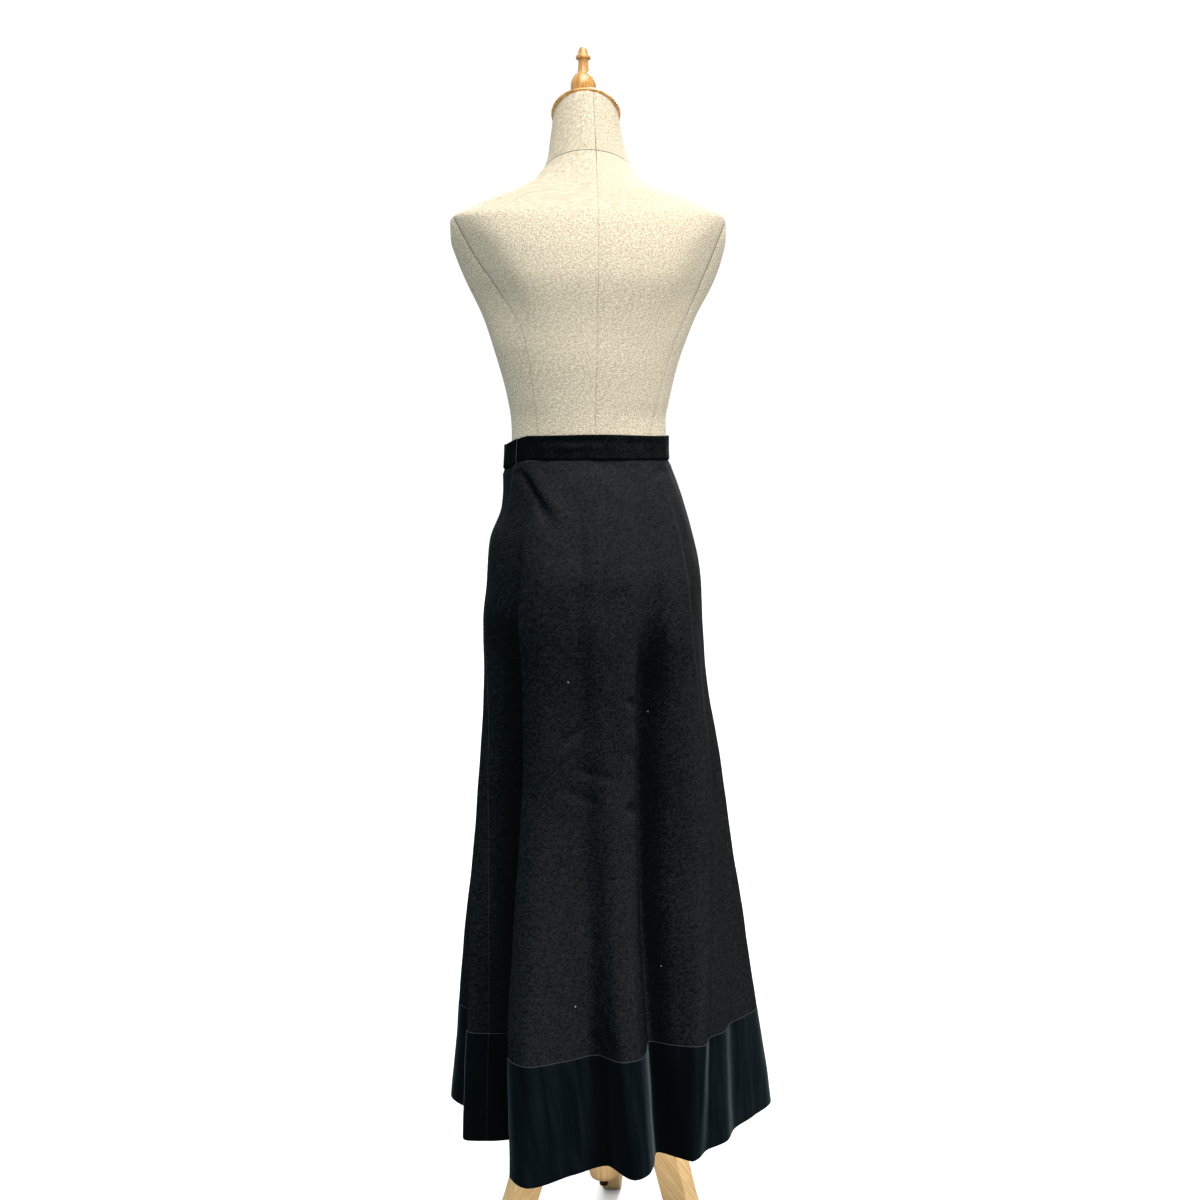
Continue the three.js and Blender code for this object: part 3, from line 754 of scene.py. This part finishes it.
def clothShell(name, place, normal, thickness, proud, finish):
    rows, columns = place.shape[:2]
    across, along = gridLengths(place, 1), gridLengths(place, 0)
    toEdge = np.minimum(np.minimum(across, across[:, -1:] - across), np.minimum(along, along[-1:] - along))
    half = thickness / 2
    share = np.clip(toEdge / half, 0, 1)
    bulge = half * np.sqrt(np.maximum(1 - (1 - share) ** 2, 0))
    middle = place + normal * (proud - half)
    outer = (middle + normal * bulge[..., None]) * mm
    inner = (middle - normal * bulge[..., None]) * mm
    outerIndex = np.arange(rows * columns).reshape(rows, columns)
    innerIndex = outerIndex.copy()
    inside = np.zeros((rows, columns), dtype=bool)
    inside[1:-1, 1:-1] = True
    innerIndex[inside] = rows * columns + np.arange(inside.sum())
    vertices = np.concatenate([outer.reshape(-1, 3), inner[inside]])

    def quads(index, flip):
        a, b, c, d = index[:-1, :-1], index[:-1, 1:], index[1:, 1:], index[1:, :-1]
        order = (a, d, c, b) if flip else (a, b, c, d)
        return np.stack([corner.ravel() for corner in order], axis=-1)

    faces = np.concatenate([quads(outerIndex, False), quads(innerIndex, True)])
    centre = columns // 2
    u = (across - across[:, centre:centre + 1]) * mm
    v = along[:, centre:centre + 1] * mm + np.zeros_like(u)
    maps = np.stack([u, v], axis=-1)
    maps = np.concatenate([maps.reshape(-1, 2), maps[inside]])
    extras = {"edgeDistance": np.concatenate([toEdge.ravel(), toEdge[inside]])}
    piece = linkMesh(name, vertices, faces.tolist(), maps, finish, extras)
    return piece, (across[:, -1].max() * mm, along[-1].max() * mm, gridArea(place) * mm * mm)


def declareCloth(piece, cut, node):
    declare(piece, node)
    width, length, area = (float(size) for size in cut)
    width, length, area = round(width + 0.0005, 3), round(length + 0.0005, 3), round(area, 4)
    print(f"[skirt] {piece.name}: cut {width} x {length} m, {area} m2")


stitchSettings = {  # lengths in metres
    "Pitch": "Float", "Stitch Length": "Float", "Thread Width": "Float", "Unevenness": "Float", "Seed": "Int"}


def buildStitchNodes():
    tree = bpy.data.node_groups.new("stitchRow", "GeometryNodeTree")
    tree.interface.new_socket("Geometry", in_out="INPUT", socket_type="NodeSocketGeometry")
    for name, kind in stitchSettings.items():
        tree.interface.new_socket(name, in_out="INPUT", socket_type="NodeSocket" + kind)
    tree.interface.new_socket("Geometry", in_out="OUTPUT", socket_type="NodeSocketGeometry")
    source = addNode(tree, "NodeGroupInput").outputs
    path = addNode(tree, "GeometryNodeMeshToCurve", {"Mesh": source["Geometry"]})
    spacing = {"Curve": path.outputs[0], "Length": source["Pitch"]}
    spaced = addNode(tree, "GeometryNodeResampleCurve", spacing, mode="LENGTH")
    tangent = addNode(tree, "GeometryNodeInputTangent")
    turn = addNode(tree, "FunctionNodeAlignRotationToVector", {"Vector": tangent.outputs[0]}, axis="X")
    ball = addNode(tree, "GeometryNodeMeshIcoSphere", {"Radius": 0.5, "Subdivisions": 2})
    least = math2(tree, "SUBTRACT", 1.0, source["Unevenness"])
    shares = {2: least, "Seed": source["Seed"]}
    shorter = addNode(tree, "FunctionNodeRandomValue", shares, data_type="FLOAT")
    length = math2(tree, "MULTIPLY", source["Stitch Length"], shorter.outputs[1])
    width = source["Thread Width"]
    size = addNode(tree, "ShaderNodeCombineXYZ", {"X": length, "Y": width, "Z": width})
    place = addNode(tree, "GeometryNodeInstanceOnPoints", {
        "Points": spaced.outputs[0],
        "Instance": ball.outputs["Mesh"],
        "Rotation": turn.outputs[0],
        "Scale": size.outputs[0],
    })
    real = addNode(tree, "GeometryNodeRealizeInstances", {0: place.outputs[0]})
    smooth = addNode(tree, "GeometryNodeSetShadeSmooth", {0: real.outputs[0]})
    covering = {"Geometry": smooth.outputs[0], "Material": finishes["thread"]}
    covered = addNode(tree, "GeometryNodeSetMaterial", covering)
    addNode(tree, "NodeGroupOutput", {0: covered.outputs[0]})
    return tree


stitchNodes = buildStitchNodes()


def stitchRow(name, path, settings):
    mesh = bpy.data.meshes.new(name)
    mesh.from_pydata([tuple(p) for p in path * mm], [(i, i + 1) for i in range(len(path) - 1)], [])
    piece = addObject(name, mesh)
    modifier = piece.modifiers.new("stitches", "NODES")
    modifier.node_group = stitchNodes
    sockets = {s.name: s.identifier for s in stitchNodes.interface.items_tree if s.in_out == "INPUT"}
    for label, value in zip(stitchSettings, settings):
        modifier[sockets[label]] = value
    bakeModifiers(piece)
    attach(piece, "root")


def bakeModifiers(piece):
    graph = bpy.context.evaluated_depsgraph_get()
    mesh = bpy.data.meshes.new_from_object(piece.evaluated_get(graph))
    piece.modifiers.clear()
    piece.data = mesh


def lapSides(place, normal):
    tangent = np.dstack([-normal[..., 1], normal[..., 0], normal[..., 2]])
    place[:, 0] -= tangent[:, 0] * seamLap / 2
    place[:, -1] += tangent[:, -1] * seamLap / 2
    place[:, -2:] += normal[:, -2:] * seamProud


waistGroove = {"depth": 2.0, "below": 3.0, "above": 1.6}
hemStitches = {"above": 14.0, "settings": (0.009, 0.0036, 0.0007, 0.35, 11)}

twillCut = {
    "ending": "_cloth",
    "low": velvetSeam - seamLap / 2,
    "high": waistSeam + seamLap / 2,
    "spacedAt": velvetSeam,
    "thickness": 1.5,
    "proud": 0,
    "finish": "cloth",
    "restsOn": ["waistband_cloth", "torso_linen"],
}
velvetCut = {
    "ending": "_pile",
    "low": hemHeight,
    "high": velvetSeam + seamLap / 2,
    "spacedAt": hemHeight,
    "thickness": 2.4,
    "proud": 0.5,
    "finish": "velvet",
    "restsOn": ["back_left_cloth", "back_right_cloth", "front_cloth"],
}
seamLeft = lineOrder.index("seamLeft")
seamBack = lineOrder.index("seamBack")
panels = [  # name, cut, seam lines from and to, column spacing and row spacing
    ("front", twillCut, 0, seamLeft, 5.6, 7.5),
    ("back_left", twillCut, seamLeft, seamBack, 3.4, 4.2),
    ("back_right", twillCut, seamBack, len(drapeLines), 3.4, 4.2),
    ("velvet_band_front", velvetCut, 0, seamLeft, 5.0, 6.0),
    ("velvet_band_back", velvetCut, seamLeft, len(drapeLines), 3.4, 4.0),
]

for name, made, fromLine, toLine, spacing, rowSpacing in panels:
    heights = rowHeights(made["low"], made["high"], rowSpacing)
    columnsAt = panelColumns(fromLine, toLine, spacing, made["spacedAt"])
    place, normal, angle, z = sweepCloth(columnsAt, heights)
    relief = creaseRelief(angle % 360, z) + unevenness(angle, z) + waistGather(angle, z)
    relief -= waistGroove["depth"] * bell(waistSeam - z, waistGroove["below"])
    place = place + normal * relief[..., None]
    lapSides(place, normal)
    thickness, proud, finish = made["thickness"], made["proud"], made["finish"]
    piece, cut = clothShell(name + made["ending"], place, normal, thickness, proud, finish)
    declareCloth(piece, cut, name)
    if made is velvetCut:
        row = int(np.searchsorted(heights, hemHeight + hemStitches["above"]))
        inside = place[row, 4:-4] - normal[row, 4:-4] * (thickness - proud)
        stitchRow(name + "_hem_stitches", inside, hemStitches["settings"])
    report(piece.name)


# Waistband, one strip whose front end laps over its back end at the left side seam

bandThickness = 2.8
bandFoldWidth = 0.12
bandFolds = [  # share of the height, depth, angle and spread of each soft fold along the band
    (0.74, -1.6, 262, 22),
    (0.50, 0.8, 262, 26),
    (0.70, -1.0, 312, 14),
    (0.62, -1.1, 92, 30),
]
lapStitches = {"rows": slice(5, -5), "column": -8, "settings": (0.0042, 0.0026, 0.0008, 0.3, 5)}


def buildWaistband():
    heights = rowHeights(waistSeam - seamLap / 2, waistTop, 2.4)
    step = 1 / lap["columns"]
    shares = fineEnds(np.linspace(0, 1, lap["columns"] + 1), edgeSteps, step, step)
    columns = lap["underEnd"] + (lap["overEnd"] - lap["underEnd"]) * shares
    underEndsAt = lap["overEnd"] - 360

    def inset(angle):
        return lap["inset"] * (1 - smoothStep(angle, underEndsAt, underEndsAt + lap["easeOut"]))

    place, normal, angle, z = sweepCloth(lambda angles: columns, heights, inset)
    a = np.radians(angle)
    share = (z - waistSeam) / (waistTop - waistSeam)
    wavy = 0.5 * np.sin(9 * a + 1.1) * share + 0.3 * np.sin(21 * a + 3.5 * share)
    hollow = -0.6 * np.sin(np.pi * np.clip(share, 0, 1))
    topWave = 0.7 * np.sin(4 * a + 0.9) * share
    grooved = -waistGroove["depth"] * bell(z - waistSeam, waistGroove["above"])
    bandFold = np.zeros_like(wavy)
    for level, depth, centre, spread in bandFolds:
        bandFold += depth * bell(share - level, bandFoldWidth) * bell(angle % 360 - centre, spread)
    place = place + normal * (wavy + hollow + grooved + bandFold)[..., None]
    place[..., 2] += topWave
    piece, cut = clothShell("waistband_cloth", place, normal, bandThickness, 0, "bandCloth")
    declareCloth(piece, cut, "waistband")
    lapLine = place[lapStitches["rows"], lapStitches["column"]]
    stitchRow("lap_end_stitches", lapLine, lapStitches["settings"])


buildWaistband()
report("waistband")


# Dress form

form = {
    "rowSpacing": 4.0,
    "columns": 264,
    "neckTilt": 33.0,
    "neckTiltFrom": 1640.0,
    "neckSeamHeight": 1627.0,
    "neckSeamSlope": 0.34,
    "armholeFrom": 1370.0,
    "armholeFull": 1450.0,
    "seamDip": 0.7,
    "seamSoft": 3.5,
    # painted shade on every seam line, then extra painted shade near the armhole creases and the neck seam
    "seamGrooveShade": 0.24,
    "shoulderSoft": 11.0,
    "creaseFrom": 1395.0,
    "creaseFull": 1475.0,
    "creaseDip": 1.8,
    "creaseShade": 0.58,
    "nearSeam": 20.0,
    "farFromSeam": 60.0,
    "sideSeamTop": 1590.0,
    "axisX": -20.0,
}
endRings = [(0.97, 0.9), (0.6, 1.2), (0.25, 1.2), (0, 1.2)]  # share of the rim, and height past it

formSections = [  # height, reach to the left, right, back and front, and how square the ring is
    (958, -118, 96, -78, 70, 2),
    (966, -136, 112, -98, 86, 2),
    (985, -150, 124, -116, 96, 2),
    (1043, -157, 130, -123, 101, 2),
    (1101, -151, 119, -115, 97, 2),
    (1160, -142, 104, -100, 88, 2),
    (1217, -135.6, 91.2, -81.5, 79.6, 2),
    (1255, -133.6, 89.8, -80.5, 78.8, 2),
    (1275, -134.5, 89, -82, 81, 2),
    (1304, -139, 94, -86, 86, 2.1),
    (1361, -154, 108, -97, 101, 2.1),
    (1418, -174, 131, -107, 116, 2.2),
    (1474, -201, 161, -113, 119, 2.35),
    (1503, -213, 171, -113, 112, 2.35),
    (1531, -221, 176, -110, 98, 2.35),
    (1556, -221, 174.5, -103, 82, 2.35),
    (1573, -193, 154, -92, 69, 2.15),
    (1587, -161, 118, -84, 60, 2.15),
    (1601, -124, 80, -74, 54, 2.15),
    (1615, -98, 55, -67, 48, 2.15),
    (1643, -81, 35, -57, 42, 2),
    (1670, -77, 27, -52, 36, 2),
    (1702, -73, 21, -48, 31, 2),
]
backRelief = [  # height, push outwards and spread of the shoulder blades and of the hollow under them
    (1478, 2.2, 30),
    (1400, -3.6, 36),
]
armholes = [  # direction and a point of the flat that takes the corner off each shoulder
    ((-0.72, -0.6, -0.34), (-214, -40, 1552)),
    ((0.8, -0.5, -0.34), (171, -36, 1545)),
]
neckCentre = (-26.0, -8.5, 1702.0)
neckSlope = math.tan(math.radians(form["neckTilt"]))

centreSeamPath = [(1270, -13), (1416, -9), (1525, -8), (1632, -11), (1760, -17)]
sideSeamRightPath = [(1230, 60), (1257, 66), (1340, 86), (1463, 136), (1500, 152), (1560, 176)]
sideSeamLeftPath = [(1230, -92), (1300, -98), (1389, -113), (1459, -152), (1500, -181), (1560, -215)]


def buildTorso():
    formPlan = planOf(formSections)
    squareAt = smoothThrough([row[0] for row in formSections], [row[5] for row in formSections])
    low, high = formSections[0][0], formSections[-1][0]
    count = int(round((high - low) / form["rowSpacing"]))
    heights = np.linspace(low, high, count + 1)
    angle = np.arange(form["columns"]) * 2 * np.pi / form["columns"]
    c, s = np.cos(angle), np.sin(angle)
    rings = []
    for z in heights:
        middle, half, back, front = (float(v) for v in formPlan(z))
        power = 2 / float(squareAt(z))
        reach = np.where(s < 0, back, front)
        x = middle + half * np.sign(c) * np.abs(c) ** power
        y = reach * np.sign(s) * np.abs(s) ** power
        rings.append(np.stack([x, y, np.full_like(x, z)], axis=-1))
    place = np.array(rings)
    z = place[..., 2].copy()
    slope = neckSlope * smoothStep(z, form["neckTiltFrom"], neckCentre[2])
    place[..., 2] = z - slope * (place[..., 1] - neckCentre[1])
    share = smoothStep(z, form["armholeFrom"], form["armholeFull"])
    for direction, through in armholes:
        direction = np.array(direction) / np.linalg.norm(direction)
        beyond = (place - np.array(through)) @ direction
        soft = (beyond + np.hypot(beyond, form["shoulderSoft"])) / 2
        place = place - direction * (soft * share)[..., None]
    across = gridLengths(place, 1)
    along = gridLengths(place, 0)
    height = place[..., 2]
    isBack = place[..., 1] < 0
    far = form["farFromSeam"]

    def seamSide(path):
        at = smoothThrough([p[0] for p in path], [p[1] for p in path])
        return place[..., 0] - at(height)

    onSide = isBack & (height <= form["sideSeamTop"])
    centre = np.where(isBack, seamSide(centreSeamPath), far)
    right = np.where(onSide, seamSide(sideSeamRightPath), far)
    left = np.where(onSide, seamSide(sideSeamLeftPath), far)
    neck = height - (form["neckSeamHeight"] - form["neckSeamSlope"] * place[..., 1])
    sides = np.minimum(np.abs(left), np.abs(right))
    armhole = smoothStep(height, form["creaseFrom"], form["creaseFull"])
    dip = -form["creaseDip"] * armhole * bell(sides, form["seamSoft"])
    for distance in (centre, right, neck):
        dip -= form["seamDip"] * bell(distance, form["seamSoft"])
    # painted shade for the seam lines, deepest near the armhole creases and the neck seam
    nearSeam = np.maximum(armhole * bell(sides, form["nearSeam"]), bell(neck, form["nearSeam"]))
    depth = form["seamGrooveShade"] + form["creaseShade"] * nearSeam
    outward = place - np.stack([np.full_like(z, form["axisX"]), np.zeros_like(z), height], axis=-1)
    outward /= np.linalg.norm(outward, axis=2, keepdims=True)
    for level, push, spread in backRelief:
        dip += push * bell(height - level, spread) * np.clip(-outward[..., 1], 0, 1)
    place = place + outward * dip[..., None]
    rows, columns = place.shape[:2]
    vertices = [place.reshape(-1, 3)]
    maps = [np.stack([across, along], axis=-1).reshape(-1, 2)]
    index = np.arange(rows * columns).reshape(rows, columns)
    after = np.roll(index, -1, axis=1)
    faces = np.stack([index[:-1], after[:-1], after[1:], index[1:]], axis=-1).reshape(-1, 4).tolist()
    total = rows * columns
    for row, side in ((0, -1), (rows - 1, 1)):
        ring = place[row]
        middle = ring.mean(axis=0)
        previous = index[row]
        for shrink, lift in endRings:
            inner = middle + (ring - middle) * shrink
            inner[:, 2] += side * lift
            if not shrink:
                inner = inner[:1]
            vertices.append(inner)
            maps.append(inner[:, :2])
            current = total + np.arange(len(inner))
            total += len(inner)
            for k in range(columns):
                m = (k + 1) % columns
                inward = (current[m], current[k]) if shrink else (current[0],)
                faces.append((previous[k], previous[m], *inward)[::side])
            previous = current
    seams = {"centreSeam": centre, "neckSeam": neck, "sideSeamRight": right, "sideSeamLeft": left}
    seams["seamGrooveShade"] = depth / mm
    onEnds = np.full(total - rows * columns, far)
    extras = {name: np.append(values, onEnds) for name, values in seams.items()}
    points, maps = np.concatenate(vertices) * mm, np.concatenate(maps) * mm
    declare(linkMesh("torso_linen", points, faces, maps, "linen", extras), "torso")


buildTorso()
report("torso")


# Turned and sawn wood

grainRadius = 20


def lathePiece(name, node, profile, sides, finish, tilt=0.0, place=(0, 0, 0), baseSlope=0.0, blendTo=0.0):
    angle = np.arange(sides) * 2 * np.pi / sides
    vertices = [np.array([[0.0, 0.0, profile[0][1]]])]
    maps = [np.array([[0.0, profile[0][1]]])]
    length = 0.0
    previous = profile[0]
    for radius, height in profile[1:-1]:
        length += math.hypot(radius - previous[0], height - previous[1])
        previous = (radius, height)
        ring = np.stack([radius * np.cos(angle), radius * np.sin(angle), np.full(sides, height)], axis=-1)
        if baseSlope:
            share = 1 - smoothStep(height, profile[0][1], blendTo)
            ring[:, 2] -= baseSlope * share * ring[:, 1]
        vertices.append(ring)
        maps.append(np.stack([angle * grainRadius, np.full(sides, length)], axis=-1))
    vertices.append(np.array([[0.0, 0.0, profile[-1][1]]]))
    maps.append(np.array([[0.0, length + previous[0]]]))
    points = np.concatenate(vertices)
    turn = math.radians(tilt)
    c, s = math.cos(turn), math.sin(turn)
    y = points[:, 1] * c - points[:, 2] * s
    z = points[:, 1] * s + points[:, 2] * c
    points = np.stack([points[:, 0], y, z], axis=-1) + np.array(place)
    faces = []
    ringCount = len(profile) - 2
    for k in range(sides):
        m = (k + 1) % sides
        faces.append((0, 1 + m, 1 + k))
        for r in range(ringCount - 1):
            a = 1 + r * sides
            faces.append((a + k, a + m, a + sides + m, a + sides + k))
        top = 1 + (ringCount - 1) * sides
        faces.append((top + k, top + m, len(points) - 1))
    piece = linkMesh(name, points * mm, faces, np.concatenate(maps) * mm, finish)
    declare(piece, node)
    return piece


def roundedProfile(points, cuts):
    heights = [p[1] for p in points]
    curve = smoothThrough(heights, [p[0] for p in points])
    fine = []
    for low, high in zip(heights[:-1], heights[1:]):
        fine += list(np.linspace(low, high, cuts, endpoint=False))
    fine.append(heights[-1])
    return [(float(curve(h)), float(h)) for h in fine]


# Radius and height from the bottom to the top of each turned piece

capProfile = [
    (0, 0), (43, 0), (47.4, 0.1), (48.3, 0.5), (48.85, 1.2), (49, 2.0), (48.8, 3.2), (48.1, 4.6),
    (46.8, 5.5), (44.6, 6.0), (37, 6.5), (20, 7.3), (0, 7.5),
]
capLift = 0.3 / math.cos(math.radians(form["neckTilt"]))
capPlace = (neckCentre[0], neckCentre[1], neckCentre[2] + capLift)
lathePiece("neck_cap_wood", "neck_cap", capProfile, 96, "honey_wood", -form["neckTilt"], capPlace)

finialRings = [
    (17, 1712), (15.4, 1719), (14.5, 1727), (15.6, 1729.5), (16.6, 1732), (17.5, 1736), (17.9, 1741),
    (17.8, 1745), (17.0, 1749), (15.6, 1752.5), (14.6, 1754.6), (13.9, 1755.0), (13.4, 1755.6),
    (12.9, 1756.8), (11.4, 1758.4), (9.4, 1759.6), (8.4, 1761.2), (7.6, 1766), (7.1, 1772), (7.0, 1777),
    (7.6, 1778.6), (9.6, 1779.4), (10.6, 1780.4), (10.7, 1781.8), (10.3, 1783.6), (9.0, 1785.2),
    (8.0, 1786.4), (7.4, 1788.5), (6.8, 1791), (5.8, 1793.6), (4.4, 1795.2), (2.4, 1795.9),
]
finialProfile = [(0, 1712)] + roundedProfile(finialRings, 3) + [(0, 1796)]
finialPlace = (-29.5, neckCentre[1], 0)
lathePiece("finial_wood", "finial", finialProfile, 72, "honey_wood", 0, finialPlace, neckSlope, 1724)

columnProfile = [(0, 130), (10.125, 130.4), (15.75, 131.8), (19.35, 134), (21.375, 137), (22.275, 140.5)]
columnProfile += [(22.5, 144)] + [(22.5, float(h)) for h in np.linspace(150, 955.7, 26)]
columnProfile += [(21.7, 957.7), (0, 957.7)]
columnPiece = lathePiece("column_wood", "column", columnProfile, 64, "oak")
columnMap = columnPiece.data.uv_layers["clothMap"].data
swapped = np.empty(2 * len(columnMap), dtype=np.float32)
columnMap.foreach_get("uv", swapped)
columnMap.foreach_set("uv", swapped.reshape(-1, 2)[:, ::-1].ravel())

legs = {
    "yaw": 3.8,
    "thickness": 30.0,
    "angles": {"leg_left": 210, "leg_right": 330, "leg_rear": 90},
    "grain": (0.72, 0.69),
    "curves": [  # reach and height of each curve's start, handles and end, and its steps, 1 if straight
        ((22.8, 226), (62, 240), (92, 200), (102, 166), 12),
        ((102, 166), (113, 130), (126, 92), (158, 50), 12),
        ((158, 50), (178, 26), (200, 8), (223, 0), 10),
        ((223, 0), (223, 0), (275, 0), (275, 0), 1),
        ((275, 0), (279, 10), (269, 20), (257, 25), 8),
        ((257, 25), (216, 42), (184, 84), (160, 131), 14),
        ((160, 131), (146, 168), (132, 240), (96, 282), 14),
        ((96, 282), (74, 308), (46, 318), (22.8, 318), 10),
        ((22.8, 318), (22.8, 318), (22.8, 226), (22.8, 226), 1),
    ],
}


def bezier(start, first, second, end, steps):
    t = np.linspace(0, 1, steps, endpoint=False)[:, None]
    a, b, c, d = (np.array(p, float) for p in (start, first, second, end))
    return a * (1 - t) ** 3 + 3 * b * t * (1 - t) ** 2 + 3 * c * t * t * (1 - t) + d * t ** 3


def buildLeg(node, angle):
    outline = np.concatenate([bezier(*curve) for curve in legs["curves"]])
    count = len(outline)
    reach, z = np.tile(outline, (2, 1)).T
    side = np.repeat([-legs["thickness"] / 2, legs["thickness"] / 2], count)
    faces = []
    for k in range(count):
        m = (k + 1) % count
        faces.append((k, m, count + m, count + k))
    faces.append(tuple(range(count))[::-1])
    faces.append(tuple(range(count, 2 * count)))
    c, s = legs["grain"]
    maps = np.stack([reach * c - z * s, reach * s + z * c + 0.8 * side], axis=-1) * mm
    turn = math.radians(angle)
    x = reach * math.cos(turn) - side * math.sin(turn)
    y = reach * math.sin(turn) + side * math.cos(turn)
    piece = linkMesh(node + "_wood", np.stack([x, y, z], axis=-1) * mm, faces, maps, "oak")
    rounding = piece.modifiers.new("rounding", "BEVEL")
    rounding.width = 2.2 * mm
    rounding.segments = 3
    rounding.limit_method = "ANGLE"
    rounding.angle_limit = math.radians(50)
    bakeModifiers(piece)
    declare(piece, node)


for node, angle in legs["angles"].items():
    buildLeg(node, angle - legs["yaw"])

boltProfile = [
    (0, 119.7), (3.0, 119.7), (3.2, 122.1), (3.4, 122.2), (3.6, 119.7), (5.7, 119.7), (6.3, 120.1),
    (6.5, 120.7), (6.5, 126.5), (5.9, 126.8), (5.9, 127.1), (6.5, 127.4), (6.5, 129.7), (0, 129.7),
]
lathePiece("column_bolt_steel", "column_bolt", boltProfile, 36, "dark_steel")
report("wood and bolt")
